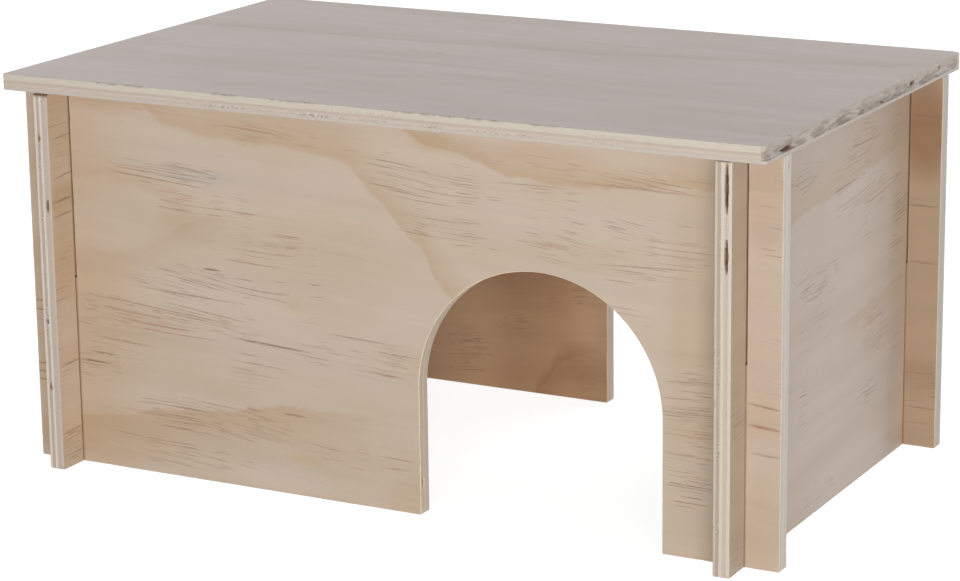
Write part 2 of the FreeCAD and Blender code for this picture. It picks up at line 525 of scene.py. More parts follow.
@dataclass(frozen=True)
class Veneer:
    """Bare, sanded, peeled pine: the finish of one face of a board.

    Wide rings and stray streaks lie everywhere, and the grain climbs by slope. Growth lines, patches
    of streaks, long streaks, stained ovals and ovals of painted light and shade lie where they are put,
    and a line of painted shade lies along each crossing board. A RISE or a FADE is the pair of levels
    between which something sets in or goes; a streak's SIZE and SHADE are the least, and what chance
    adds to it.
    """

    name: str
    seed: int
    pale: Colour = (0.500, 0.405, 0.318)
    tan: Colour = (0.425, 0.305, 0.195)
    streak: Colour = (0.185, 0.102, 0.058)
    red: Colour = (0.265, 0.120, 0.062)
    lines: tuple[GrowthLine, ...] = ()
    patches: tuple[StreakPatch, ...] = ()
    streaks: tuple[Streak, ...] = ()
    stains_and_painted_light: tuple[StainAndPaintedLight, ...] = ()
    rings: float = 0.55
    ring_count: float = 5.0
    stray_streaks: float = 0.14
    slope: float = 0.06
    streak_length: float = 1.0
    roughness: float = 0.48

    DRIFT = Mottle(0.012, 0.03, detail=1.0)
    DRIFT_REACH = 9.0
    FIBRE = Mottle(0.06, 3.2, shift=3.0, detail=3.0, rough=0.65)
    FIBRE_LIGHT = 0.09
    BANDS = Mottle(0.007, 0.16, shift=13.0, detail=3.0, rough=0.6)
    BAND_LIGHT = 0.20
    LEAST_LIGHT = 0.855
    FINE_LINES = Mottle(0.010, 0.75, shift=5.0)
    FINE_LINE_RISE = (0.58, 0.76)
    FINE_LINE_AMOUNT = 0.07
    BLUSH = Mottle(0.016, 0.045, shift=7.0, detail=3.0)
    BLUSH_TAN_RISE = (0.40, 0.72)
    BLUSH_AMOUNT = 0.40
    BLUSH_RED_RISE = (0.47, 0.60)
    UNEVEN = Mottle(0.09, 0.09, shift=2.0, detail=3.0, rough=0.6)
    SHEETS = Mottle(1 / 240, 1 / 46, shift=11.0, detail=1.0)
    RING_WANDER = 0.06
    RING_RISE = (0.0, 0.05)
    RING_FADE = (0.9, 0.0)
    SPREAD = Mottle(0.018, 0.035, shift=17.0, detail=1.0)
    SPREAD_RISE = (0.45, 0.72)
    SPREAD_CROWDING = 2.0
    FRAY = Mottle(0.35, 3.0, rough=0.7)
    FRAY_RISE = (0.22, 0.52)
    FRAY_REACH = 0.5
    STREAK_CELLS = ((84.0, 0.72), (46.0, 0.68), (25.0, 0.58), (12.0, 0.50))
    STREAK_SHIFT = 17.0
    STREAK_SIZE = (0.16, 0.16)
    STREAK_SHADE = (0.16, 0.50)
    STREAK_RIM = 0.13
    DENSITY_RIM = 0.10
    # Painted shade along each crossing board, for the shadow in the gap where the boards meet: its colour,
    # how much, and where it fades out and sets in, in millimetres beyond the board.
    JOINT_SHADE = (0.235, 0.128, 0.062)
    JOINT_AMOUNT = 0.60
    JOINT_REACH = 0.50
    JOINT_CORE = 0.15
    RELIEF_DEPTH = 0.12 * MM
    RELIEF_STRENGTH = 0.30

    def material(self, lie: Lie, joints: Sequence[Point] = ()) -> bpy.types.Material:
        """Build the material.

        Args:
            lie: How the board lies, for the direction of the grain.
            joints: (middle, half width) along the face of each board that crosses it, in millimetres.

        Returns:
            The material.
        """
        made, graph = new_material(self.name)
        axes = graph.place()
        along, level = axes[lie.along], axes[lie.across]
        place = graph.join(along, level)
        drift = self.DRIFT.over(along, level, self.seed) - 0.5
        across = level + along * self.slope + drift * self.DRIFT_REACH
        fibre = self.FIBRE.over(along, across, self.seed)
        bands = self.BANDS.over(along, across, self.seed)
        fine_lines = self.FINE_LINES.over(along, across, self.seed)
        blush = self.BLUSH.over(along, level, self.seed)
        tan = self._growth(along, level)
        streaks = self._streaks(along, level, across)
        colour = graph.mix(self.pale, self.tan, tan)
        colour = graph.mix(colour, self.tan, graph.step(blush, *self.BLUSH_TAN_RISE) * self.BLUSH_AMOUNT)
        # Stained wood, and ovals of painted light and painted shade, laid over the grain.
        for tint_oval in self.stains_and_painted_light:
            colour = graph.mix(colour, tint_oval.colour, tint_oval.share(place) * tint_oval.amount)
        colour = colour * (self.LEAST_LIGHT + fibre * self.FIBRE_LIGHT + bands * self.BAND_LIGHT)
        fine = graph.step(fine_lines, *self.FINE_LINE_RISE) * self.FINE_LINE_AMOUNT
        colour = graph.mix(colour, self.streak, fine)
        tint = graph.mix(self.streak, self.red, graph.step(blush, *self.BLUSH_RED_RISE))
        colour = graph.mix(colour, tint, streaks)
        # Painted shade along each crossing board, for the shadow in the gap where it meets this face.
        for middle, half_width in joints:
            away = graph.maths("ABSOLUTE", along - middle)
            joint = graph.step(away, half_width + self.JOINT_REACH, half_width + self.JOINT_CORE)
            colour = graph.mix(colour, self.JOINT_SHADE, joint * self.JOINT_AMOUNT)
        relief = fibre * 0.5 + tan * 0.15 - streaks * 0.8
        graph.finish(
            Base_Color=colour,
            Roughness=self.roughness + fibre * 0.10 + streaks * 0.15,
            Normal=graph.bump(relief, self.RELIEF_STRENGTH, self.RELIEF_DEPTH),
        )
        return made

    def _growth(self, along: Wire, level: Wire) -> Operand:
        """Lay wide rings everywhere, and the growth lines that the face has.

        Args:
            along: Millimetres along the face.
            level: Millimetres across it.

        Returns:
            How tan the face is, from 0 to 1.
        """
        graph = along.graph
        rough = self.UNEVEN.over(along, level, self.seed) - 0.5
        tan: Operand = 0.0
        if self.rings > 0.0:
            sheets = self.SHEETS.over(along, level, self.seed)
            ring = graph.maths("FRACT", sheets * self.ring_count + rough * self.RING_WANDER)
            tan = graph.step(ring, *self.RING_RISE) * graph.step(ring, *self.RING_FADE) * self.rings
        for line in self.lines:
            tan = graph.maths("MAXIMUM", tan, line.tan(along, level, rough))
        return tan

    def _streaks(self, along: Wire, level: Wire, across: Wire) -> Wire:
        """Lay stray streaks everywhere, close ones in the patches, and the long ones.

        Args:
            along: Millimetres along the face.
            level: Millimetres across it.
            across: Millimetres across the grain, bent with its flow.

        Returns:
            How dark the streaks are, from 0 to 1.
        """
        graph = along.graph
        place = graph.join(along, level)
        spread = graph.step(self.SPREAD.over(along, level, self.seed), *self.SPREAD_RISE)
        density = spread * (self.stray_streaks * self.SPREAD_CROWDING)
        for patch in self.patches:
            density = graph.maths("MAXIMUM", density, patch.share(place) * patch.density)
        fray = self.FRAY.over(along, level, self.seed)
        dark: Operand = 0.0
        for number, (length, width) in enumerate(self.STREAK_CELLS):
            shift = self.STREAK_SHIFT * number + self.seed
            cell = graph.join(along * (1 / (length * self.streak_length)) + shift, across * (1 / width))
            dark = graph.maths("MAXIMUM", dark, self._streak_layer(cell, density))
        for streak in self.streaks:
            climb = (along - streak.along) * streak.slope
            tilted = graph.join(along, level + climb + (fray - 0.5) * self.FRAY_REACH)
            dark = graph.maths("MAXIMUM", dark, streak.share(tilted) * streak.strength)
        return dark * graph.step(fray, *self.FRAY_RISE)

    def _streak_layer(self, cell: Wire, density: Wire) -> Wire:
        """Scatter lens-shaped streaks, at most one to a cell.

        Args:
            cell: Where the shaded point is, with one unit to a cell.
            density: Share of the cells that hold a streak.

        Returns:
            How dark the streaks are, from 0 to 1.
        """
        graph = cell.graph
        cells = graph.node(
            "ShaderNodeTexVoronoi",
            {"voronoi_dimensions": "2D"},
            {"Vector": cell, "Scale": 1.0, "Randomness": 1.0},
        )
        random = graph.node("ShaderNodeSeparateColor", inputs={"Color": graph.wire(cells, "Color")})
        least_size, more_size = self.STREAK_SIZE
        least_shade, more_shade = self.STREAK_SHADE
        size = least_size + graph.wire(random, "Blue") * more_size
        lens = graph.step(size - graph.wire(cells, "Distance"), 0.0, self.STREAK_RIM)
        present = graph.step(density - graph.wire(random, "Red"), 0.0, self.DENSITY_RIM)
        return lens * present * (least_shade + graph.wire(random, "Green") * more_shade)


@dataclass(frozen=True)
class EdgePatch:
    """A stretch of one ply where a cut edge is speckled: where it is in millimetres, and its ply."""

    middle: float
    half_length: float
    ply: int
    density: float = 0.8

    HALF_HEIGHT = 0.62

    def specks(self, place: Wire) -> Wire:
        """How thick the specks lie; place is (millimetres along the edge, plies from the low face)."""
        oval = Oval(self.middle, self.ply + 0.5, self.half_length, self.HALF_HEIGHT)
        return oval.share(place) * self.density


@dataclass(frozen=True)
class CutEdge:
    """The cut edges of a board, where its plies show as stripes, from the low face to the high one.

    widths are shares of the thickness, and the scales of noise are cells to a millimetre: where there
    are two, the first is through the board and the second within its plane.
    """

    name: str
    seed: int
    stripes: tuple[Colour, ...]
    widths: tuple[float, ...] = (0.19, 0.21, 0.20, 0.21, 0.19)
    patches: tuple[EdgePatch, ...] = ()
    patches_run_along: bool = False
    speck: Colour = (0.190, 0.165, 0.150)
    chalk: Colour = (0.660, 0.625, 0.590)
    # The hollow colour is painted shade, for the gaps in the plies, the chips and the slots.
    hollow: Colour = (0.190, 0.108, 0.062)
    torn: Colour = (0.460, 0.390, 0.333)
    # The next colour is for the cracked places on a torn end, and for painted shade on its deeper, lower
    # plies.
    crack_and_painted_shade: Colour = (0.315, 0.255, 0.213)
    speck_amount: float = 0.20
    soft: float = 0.02
    # Painted light: an oval where the edge is made lighter by this tint, for light on the doorway's jambs.
    jamb_painted_light: Optional[Oval] = None
    jamb_painted_light_tint: Colour = (1.34, 1.22, 1.04)

    WANDER_SCALE = 0.05
    WANDER = 0.09
    LINE_SCALE = (2.5, 0.30)
    LINE_WANDER = 0.05
    LEAST_LIGHT = 0.90
    LINE_LIGHT = 0.20
    CROSS_PLY_CORE = 0.35
    GRIT_SCALE = 1.7
    GRIT_CHALK = (0.44, 0.36)
    GRIT_SPECK = (0.50, 0.62)
    SPREAD_SCALE = 0.06
    SPREAD_RISE = (0.50, 0.68)
    FLAKE_SCALE = (0.60, 0.12)
    FLAKE_LIT = (0.52, 0.66)
    RIDGE_LEVEL = 0.48
    RIDGE_WIDTH = 0.014
    RIDGE_AMOUNT = 0.60
    TORN_RISE = (0.0, 0.06)
    RELIEF_DEPTH = 0.15 * MM
    RELIEF_STRENGTH = 0.35

    def material(self, lie: Lie, low: float, high: float) -> bpy.types.Material:
        """Build the material.

        Args:
            lie: How the board lies.
            low: Where the board's low face is, in metres.
            high: Where its high face is.

        Returns:
            The material.
        """
        made, graph = new_material(self.name)
        axes = graph.place()
        place = graph.join(*axes)
        depth = (axes[lie.through] - low / MM) * (MM / (high - low))
        wander = graph.cloud(place * self.WANDER_SCALE + (self.seed, 0.0, 0.0)) - 0.5
        lines = graph.cloud(place * lie.stretch(*self.LINE_SCALE), 3.0, 0.6)
        layer = depth + wander * self.WANDER + (lines - 0.5) * self.LINE_WANDER
        grit = graph.cloud(place * self.GRIT_SCALE, 3.0, 0.7)
        edge_place = graph.join(axes[lie.along if self.patches_run_along else lie.across], layer * PLIES)
        specks = self._specks(place, layer, edge_place)
        colour = graph.ramp(layer, self._stops()) * (self.LEAST_LIGHT + lines * self.LINE_LIGHT)
        colour = graph.mix(colour, self.chalk, specks * graph.step(grit, *self.GRIT_CHALK))
        colour = graph.mix(colour, self.speck, specks * graph.step(grit, *self.GRIT_SPECK))
        # Painted light on the doorway's jambs.
        if self.jamb_painted_light:
            share = self.jamb_painted_light.share(graph.join(axes[lie.along], axes[lie.across]))
            colour = graph.mix(colour, colour * self.jamb_painted_light_tint, share)
        flakes = graph.cloud(place * lie.stretch(*self.FLAKE_SCALE) + (0.0, 0.0, self.seed), 2.0, 0.6)
        # Painted light and shade on a torn end: higher plies lighter, deeper lower plies darker.
        lit = graph.step(flakes * 0.9 + lines * 0.10 + depth * 0.22, *self.FLAKE_LIT)
        from_ridge = graph.maths("ABSOLUTE", flakes - self.RIDGE_LEVEL)
        ridge = graph.step(from_ridge, self.RIDGE_WIDTH, 0.0) * self.RIDGE_AMOUNT
        ragged = graph.mix(graph.mix(self.crack_and_painted_shade, self.torn, lit), self.speck, ridge)
        colour = graph.mix(colour, ragged, graph.step(graph.attribute("torn"), *self.TORN_RISE))
        # Painted shade in the gaps, chips and slots that the mesh marks.
        colour = graph.mix(colour, self.hollow, graph.attribute("hollow"))
        graph.finish(
            Base_Color=colour,
            Roughness=0.60 + grit * 0.15,
            Normal=graph.bump(lines * 0.6 + grit * 0.5, self.RELIEF_STRENGTH, self.RELIEF_DEPTH),
        )
        return made

    def _specks(self, place: Wire, layer: Wire, edge_place: Wire) -> Wire:
        """Lay specks here and there on the cross plies, and thickly in the patches.

        Args:
            place: The shaded point, in millimetres.
            layer: Share of the plies below it.
            edge_place: (millimetres along the edge, plies from the low face).

        Returns:
            How thick the specks lie, from 0 to 1.
        """
        graph = place.graph
        ply = 1 / PLIES
        from_cross_ply = graph.maths("PINGPONG", layer + ply / 2, ply)
        cross = graph.step(from_cross_ply, ply / 2, ply * self.CROSS_PLY_CORE)
        spread = graph.cloud(place * self.SPREAD_SCALE + (0.0, self.seed, 0.0), 1.0)
        specks = graph.step(spread, *self.SPREAD_RISE) * cross * self.speck_amount
        for patch in self.patches:
            specks = graph.maths("MAXIMUM", specks, patch.specks(edge_place))
        return specks

    def _stops(self) -> list[tuple[float, Colour]]:
        """Set out the stripes, with a narrow soft line where two plies meet.

        Returns:
            The ramp's stops.
        """
        stops: list[tuple[float, Colour]] = []
        place = 0.0
        for colour, width in zip(self.stripes, self.widths):
            stops += [(place + self.soft, colour), (place + width - self.soft, colour)]
            place += width
        return stops


@dataclass(frozen=True)
class PlanedStrip:
    """Planed pine of a solid strip that runs along Y: rings on its ends and straight grain along it."""

    name: str
    seed: int
    pale: Colour = (0.540, 0.420, 0.300)
    tan: Colour = (0.400, 0.250, 0.140)

    PITH = (-7.0, 0.0, 150.0)
    ACROSS_GRAIN = (1.0, 0.0, 1.0)
    BEND_SCALE = (0.10, 0.01, 0.10)
    BEND = 3.0
    RINGS_TO_A_MILLIMETRE = 0.55
    FIBRE_SCALE = (3.0, 0.08, 3.0)
    RELIEF_DEPTH = 0.1 * MM
    RELIEF_STRENGTH = 0.3

    def material(self) -> bpy.types.Material:
        """Build the material.

        Returns:
            The material.
        """
        made, graph = new_material(self.name)
        place = graph.join(*graph.place())
        bend = graph.cloud(place * self.BEND_SCALE + (0.0, self.seed, 0.0)) * self.BEND
        radius = graph.length((place - self.PITH) * self.ACROSS_GRAIN)
        ring = graph.maths("FRACT", (radius + bend) * self.RINGS_TO_A_MILLIMETRE)
        tan = graph.step(ring, 0.0, 0.8) * graph.step(ring, 1.0, 0.9)
        fibre = graph.cloud(place * self.FIBRE_SCALE, 3.0, 0.6)
        colour = graph.mix(self.pale, self.tan, tan * 0.55) * (0.92 + fibre * 0.16)
        graph.finish(
            Base_Color=colour,
            Roughness=0.5 + fibre * 0.1,
            Normal=graph.bump(fibre - tan * 0.3, self.RELIEF_STRENGTH, self.RELIEF_DEPTH),
        )
        return made


# --- Meshes ---------------------------------------------------------------------------------------


@dataclass(frozen=True)
class Corner:
    """A corner of a board's outline, (along, across) in metres, rounded by a radius."""

    along: float
    across: float
    radius: float = 0.0


class Outline:
    """A closed outline, anticlockwise, as evenly spaced points that know which way is inwards.

    room is how far in each point may be cut before a rounded corner folds over itself.
    """

    ROOM_IN_BEND = 0.85
    SAME_PLACE = 1e-7
    LEAST_MITRE = 0.6
    LEAST_PARTS = 4

    def __init__(self, corners: Sequence[Corner], spacing: float) -> None:
        """Walk round the outline.

        Args:
            corners: Its corners, in order.
            spacing: Longest distance between two points.
        """
        bends = [
            self._bend(corners[index - 1], corner, corners[(index + 1) % len(corners)], spacing)
            for index, corner in enumerate(corners)
        ]
        points: list[np.ndarray] = []
        room: list[float] = []
        for corner, bend, following in zip(corners, bends, bends[1:] + bends[:1]):
            gap = following[0] - bend[-1]
            count = max(1, math.ceil(float(np.hypot(*gap)) / spacing))
            points += [*bend, *(bend[-1] + gap * part / count for part in range(1, count))]
            room += [corner.radius * self.ROOM_IN_BEND if corner.radius else math.inf] * len(bend)
            room += [math.inf] * (count - 1)
        path = np.array(points)
        keep = np.hypot(*(np.roll(path, -1, axis=0) - path).T) > self.SAME_PLACE
        self.points = path[keep]
        self.room = np.array(room)[keep]
        step = np.roll(self.points, -1, axis=0) - self.points
        lengths = np.hypot(*step.T)
        self.travel = np.concatenate([[0.0], np.cumsum(lengths)[:-1]])
        self.total = float(lengths.sum())
        after = np.stack([-step[:, 1], step[:, 0]], axis=1) / lengths[:, None]
        before = np.roll(after, 1, axis=0)
        mitre = 1.0 + (before * after).sum(axis=1)
        self.inward = (before + after) / np.maximum(mitre, self.LEAST_MITRE)[:, None]

    def _bend(self, before: Corner, corner: Corner, after: Corner, spacing: float) -> list[np.ndarray]:
        """Round one corner.

        Args:
            before: The corner before it.
            corner: The corner itself.
            after: The corner after it.
            spacing: Longest distance between two points.

        Returns:
            The points of the arc, or the corner alone where it has no radius.
        """
        middle = np.array([corner.along, corner.across])
        if corner.radius <= 0.0:
            return [middle]
        back = np.array([before.along, before.across]) - middle
        ahead = np.array([after.along, after.across]) - middle
        back /= np.hypot(*back)
        ahead /= np.hypot(*ahead)
        angle = math.acos(float(np.clip(back @ ahead, -1.0, 1.0)))
        reach = corner.radius / math.tan(angle / 2)
        start, end = middle + back * reach, middle + ahead * reach
        bisector = (back + ahead) / np.hypot(*(back + ahead))
        centre = middle + bisector * corner.radius / math.sin(angle / 2)
        turn = math.pi - angle
        count = max(self.LEAST_PARTS, math.ceil(corner.radius * turn / spacing))
        arc = []
        for part in range(count + 1):
            swept = turn * part / count
            first, last = math.sin(turn - swept) / math.sin(turn), math.sin(swept) / math.sin(turn)
            arc.append(centre + (start - centre) * first + (end - centre) * last)
        return arc

    def distance_from(self, along: float, across: float) -> np.ndarray:
        """Measure round the outline from the point nearest to a place.

        Args:
            along: The place, along the board.
            across: The place, across it.

        Returns:
            The distance of every point.
        """
        nearest = int(np.argmin(np.hypot(self.points[:, 0] - along, self.points[:, 1] - across)))
        away = np.abs(self.travel - self.travel[nearest])
        return np.minimum(away, self.total - away)

    def ripple(self, cell: float, stations: np.ndarray, station_cell: float, seed: float) -> np.ndarray:
        """Smooth noise over the swept surface, from -1 to 1.

        Args:
            cell: Size of a bump round the outline, in metres.
            stations: Places through the board, in metres.
            station_cell: Size of a bump through the board, in metres.
            seed: Chooses the pattern.

        Returns:
            One row of values for each point of the outline.
        """
        rows = (
            [noise.noise((travel / cell, depth / station_cell, seed)) for depth in stations]
            for travel in self.travel
        )
        return np.array(list(rows))


@dataclass(frozen=True)
class Hollow:
    """A gap in one ply that shows on a cut edge, in millimetres.

    ply counts from the low face, from 0.
    """

    along: float
    across: float
    half_length: float
    ply: int
    depth: float = 1.2


@dataclass(frozen=True)
class Frayed:
    """A stretch of the outline, in millimetres, where the high arris is more chipped than elsewhere."""

    along: float
    across: float
    half_length: float


@dataclass
class Skin:
    """The surface of a swept solid: its outline, its stations through it, and how far it is cut in.

    marks are numbers that its points carry, under the names by which a finish asks for them.
    """

    outline: Outline
    stations: np.ndarray
    cut: np.ndarray
    marks: dict[str, np.ndarray] = field(default_factory=dict)

    SHARP = math.radians(50)

    def mesh(self, name: str, lie: Lie) -> bpy.types.Mesh:
        """Make the mesh: the outline swept through the stations, with a flat face at each end.

        Args:
            name: Name of the mesh.
            lie: Which axes the outline and the stations use.

        Returns:
            The mesh. Its low face has material 0, its high face 1 and the rest 2.
        """
        count, rows = len(self.outline.points), len(self.stations)
        cut = np.minimum(self.cut, self.outline.room[:, None])
        place = self.outline.points[:, None, :] + self.outline.inward[:, None, :] * cut[:, :, None]
        spots = np.zeros((count, rows, 3))
        spots[:, :, lie.along] = place[:, :, 0]
        spots[:, :, lie.across] = place[:, :, 1]
        spots[:, :, lie.through] = self.stations[None, :]
        ring = np.arange(count) * rows
        after = np.roll(ring, -1)
        strips = [
            np.stack([ring + row, after + row, after + row + 1, ring + row + 1], axis=1)
            for row in range(rows - 1)
        ]
        walls = np.concatenate(strips)
        low, high = ring[::-1], ring + rows - 1
        if lie is Lie.LONG_WALL:
            # Its three axes are left-handed, so the faces would look inwards.
            walls, low, high = walls[:, ::-1], low[::-1], high[::-1]
        mesh = bpy.data.meshes.new(name)
        mesh.from_pydata(spots.reshape(-1, 3).tolist(), [], [low.tolist(), high.tolist(), *walls.tolist()])
        for label, values in self.marks.items():
            mark = mesh.attributes.new(label, "FLOAT", "POINT")
            mark.data.foreach_set("value", values.astype(np.float32).ravel())
        slots = np.full(len(mesh.polygons), 2, np.int32)
        slots[:2] = 0, 1
        mesh.polygons.foreach_set("material_index", slots)
        mesh.set_sharp_from_angle(angle=self.SHARP)
        mesh.polygons.foreach_set("use_smooth", slots == 2)
        mesh.update()
        return mesh


def rounding(from_edge: np.ndarray, radius: float) -> np.ndarray:
    """How far a rounded arris cuts in, at given distances from the edge."""
    return radius - np.sqrt(np.maximum(0.0, radius**2 - np.maximum(0.0, radius - from_edge) ** 2))


def stations_through(thickness: float, arris: float, inner: Sequence[float]) -> np.ndarray:
    """Set out the stations through a piece, with close ones on both rounded arrises.

    Args:
        thickness: Where the last station is; the first is at 0.
        arris: Radius of the arrises.
        inner: The stations between the arrises.

    Returns:
        The stations, in rising order.
    """
    rounded = arris * (1 - np.cos(np.linspace(0.0, math.pi / 2, ARRIS_STEPS + 1)))
    return np.concatenate([rounded, inner, (thickness - rounded)[::-1]])


@dataclass
class Part:
    """A piece of the house, made in place of one CAD node."""

    node: str
    piece: str
    body: str
    slot: str
    seed: int

    @property
    def box(self) -> tuple[Vector, Vector]:
        """The CAD node's lowest and highest corners."""
        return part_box(self.node)

    def place(self, mesh: bpy.types.Mesh, materials: Sequence[bpy.types.Material]) -> bpy.types.Object:
        """Put a mesh into the scene in place of the CAD node.

        Args:
            mesh: The mesh.
            materials: Its materials, in the order of its material numbers.

        Returns:
            The piece.
        """
        made = put_in_scene(self.piece, mesh)
        for material in materials:
            mesh.materials.append(material)
        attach(made, self.body)
        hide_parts(self.node)
        return made


@dataclass
class Board(Part):
    """One plywood board: an outline, worn arrises, open plies and three finishes.

    A CELL is the size of a bump round the outline, or round it and through the board, in metres. Half
    lengths of hollows and chips, and depths of hollows, are in millimetres; a chip's depth is a share
    of chip_depth or frayed_depth. Each is drawn from between its two limits.
    """

    low_face: Veneer
    high_face: Veneer
    edge: CutEdge
    hollows: tuple[Hollow, ...] = ()
    frayed: tuple[Frayed, ...] = ()
    chips: int = 40
    random_hollows: int = 5
    chip_depth: float = 0.18 * MM
    frayed_depth: float = 0.45 * MM
    arris: float = 0.20 * MM
    corner_wear: float = 0.5 * MM
    spacing: float = 0.7 * MM
    cross_ply_shrinkage: float = 0.03 * MM
    saw_marks: float = 0.02 * MM
    tear_depth: float = 1.5 * MM

    LIE = Lie.FLAT
    CROSSED_BY = ()
    SLOTS_AT_TOP = False
    SLOT_REACH = 0.3 * MM
    # How much painted shade the cut edge gets in the slots and in the chips.
    SLOT_SHADE = 0.8
    CHIP_SHADE = 0.8
    PLY_ROWS = (0.05, 0.18, 0.50, 0.82, 0.95)
    CLEAR_OF_ARRIS = 1.3
    WEAR_CELL = 9 * MM
    WEAR_CHANGE = 0.6
    SAW_CELL = (1.7 * MM, 0.5 * MM)
    CROSS_PLIES = (1, 3)
    HOLLOW_HALF_LENGTHS = (0.5, 2.2)
    HOLLOW_DEPTHS = (0.3, 0.9)
    HOLLOW_RAGGED_CELL = 1.1 * MM
    HOLLOW_RAGGEDNESS = 0.35
    HOLLOW_END = 1.2
    HOLLOW_HALF_PLY = 0.58
    HOLLOW_RIM = 0.14
    FULLY_HOLLOW = 0.55 * MM
    CHIP_HALF_LENGTHS = (0.4, 1.3)
    CHIP_DEPTH_SHARES = (0.3, 1.0)
    CHIP_REACH = 0.6 * MM
    FRAYED_CHIPS = 16

    def corners(self) -> list[Corner]:
        """The board's outline, anticlockwise."""
        raise NotImplementedError

    def build(self) -> bpy.types.Object:
        """Make the board, put it in place of its CAD node and dress it.

        Returns:
            The new piece.
        """
        low, high = (corner[self.LIE.through] for corner in self.box)
        skin = self._skin(Outline(self.corners(), self.spacing), low, high)
        joints = self._joints()
        materials = (
            self.low_face.material(self.LIE, joints),
            self.high_face.material(self.LIE, joints),
            self.edge.material(self.LIE, low, high),
        )
        return self.place(skin.mesh(self.piece, self.LIE), materials)

    def _joints(self) -> list[Point]:
        """Find the boards that cross this one.

        Returns:
            The middle and half width of each, along this board, in millimetres.
        """
        ends = [[corner[self.LIE.along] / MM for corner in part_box(node)] for node in self.CROSSED_BY]
        return [((near + far) / 2, (far - near) / 2) for near, far in ends]

    def _stations(self, thickness: float) -> np.ndarray:
        """Set out the stations through the board, with some in each ply.

        Args:
            thickness: The board's thickness.

        Returns:
            The stations, from 0 to the thickness.
        """
        ply = thickness / PLIES
        rows = [ply * (index + share) for index in range(PLIES) for share in self.PLY_ROWS]
        margin = self.arris * self.CLEAR_OF_ARRIS
        inner = [row for row in rows if margin < row < thickness - margin]
        return stations_through(thickness, self.arris, inner)

    def _skin(self, outline: Outline, low: float, high: float) -> Skin:
        """Cut the arrises, the saw marks, the hollows, the chips and the tears into the edge.

        Args:
            outline: The board's outline.
            low: Where the board's low face is.
            high: Where its high face is.

        Returns:
            The board's surface.
        """
        thickness = high - low
        stations = self._stations(thickness)
        layer = stations / thickness * PLIES
        random = np.random.default_rng(self.seed)
        from_face = np.minimum(stations, thickness - stations)
        wear = outline.ripple(self.WEAR_CELL, np.zeros(1), MM, self.seed)
        cut = rounding(from_face, self.arris)[None, :] * (1.0 + self.WEAR_CHANGE * wear)
        round_cell, through_cell = self.SAW_CELL
        sawn = outline.ripple(round_cell, stations, through_cell, self.seed + 4.0)
        cross = np.where(layer.astype(int) % 2 == 1, self.cross_ply_shrinkage, 0.0)
        cut += cross[None, :] + self.saw_marks * (1.0 + sawn)
        hollow = self._hollow_depths(outline, layer, random)
        chips = self._chip_depths(outline, from_face, stations < thickness / 2, random)
        torn = self._torn(outline, layer)
        cut += hollow + chips + torn * self.tear_depth
        # The hollow mark is painted shade for the gaps, the chips and the slots.
        slots = self._in_slots(outline)[:, None] * self.SLOT_SHADE
        gaps = np.clip(np.maximum(hollow, chips * self.CHIP_SHADE) / self.FULLY_HOLLOW, 0.0, 1.0)
        return Skin(outline, stations + low, cut, {"hollow": np.maximum(gaps, slots), "torn": torn})

    def _in_slots(self, outline: Outline) -> np.ndarray:
        """Find the points inside the slots, where the cut edge gets painted shade from the crossing boards.

        Args:
            outline: The board's outline.

        Returns:
            True at those points.
        """
        along, across = outline.points.T
        middle = sum(corner[self.LIE.across] for corner in self.box) / 2
        open_half = across > middle - MM if self.SLOTS_AT_TOP else across < middle + MM
        inside = np.zeros(len(along), bool)
        for node in self.CROSSED_BY:
            near, far = (corner[self.LIE.along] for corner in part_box(node))
            inside |= (along > near - self.SLOT_REACH) & (along < far + self.SLOT_REACH)
        return inside & open_half

    def _hollow_depths(
        self, outline: Outline, layer: np.ndarray, random: np.random.Generator
    ) -> np.ndarray:
        """Open gaps in the inner plies: lenses with ragged ends.

        Args:
            outline: The board's outline.
            layer: Plies below each station.
            random: Where chance comes from.

        Returns:
            Depth of the gaps, in metres.
        """
        depths = np.zeros((len(outline.points), len(layer)))
        gaps = list(self.hollows)
        for _ in range(self.random_hollows):
            point = outline.points[random.integers(len(outline.points))] / MM
            ply = int(random.choice(self.CROSS_PLIES))
            half_length = random.uniform(*self.HOLLOW_HALF_LENGTHS)
            depth = random.uniform(*self.HOLLOW_DEPTHS)
            gaps.append(Hollow(point[0], point[1], half_length, ply, depth))
        ragged = outline.ripple(self.HOLLOW_RAGGED_CELL, np.zeros(1), MM, self.seed + 9.0)[:, 0]
        for gap in gaps:
            away = outline.distance_from(gap.along * MM, gap.across * MM) / MM
            bulge = 1.0 - (away / gap.half_length) ** 2
            swell = np.clip(bulge + self.HOLLOW_RAGGEDNESS * ragged, 0.0, 1.0)
            swell[away > gap.half_length * self.HOLLOW_END] = 0.0
            half = self.HOLLOW_HALF_PLY * np.sqrt(swell)[:, None]
            from_rim = half - np.abs(layer[None, :] - gap.ply - 0.5)
            open_share = np.clip(from_rim / self.HOLLOW_RIM, 0.0, 1.0)
            depths = np.maximum(depths, open_share * gap.depth * MM)
        return depths

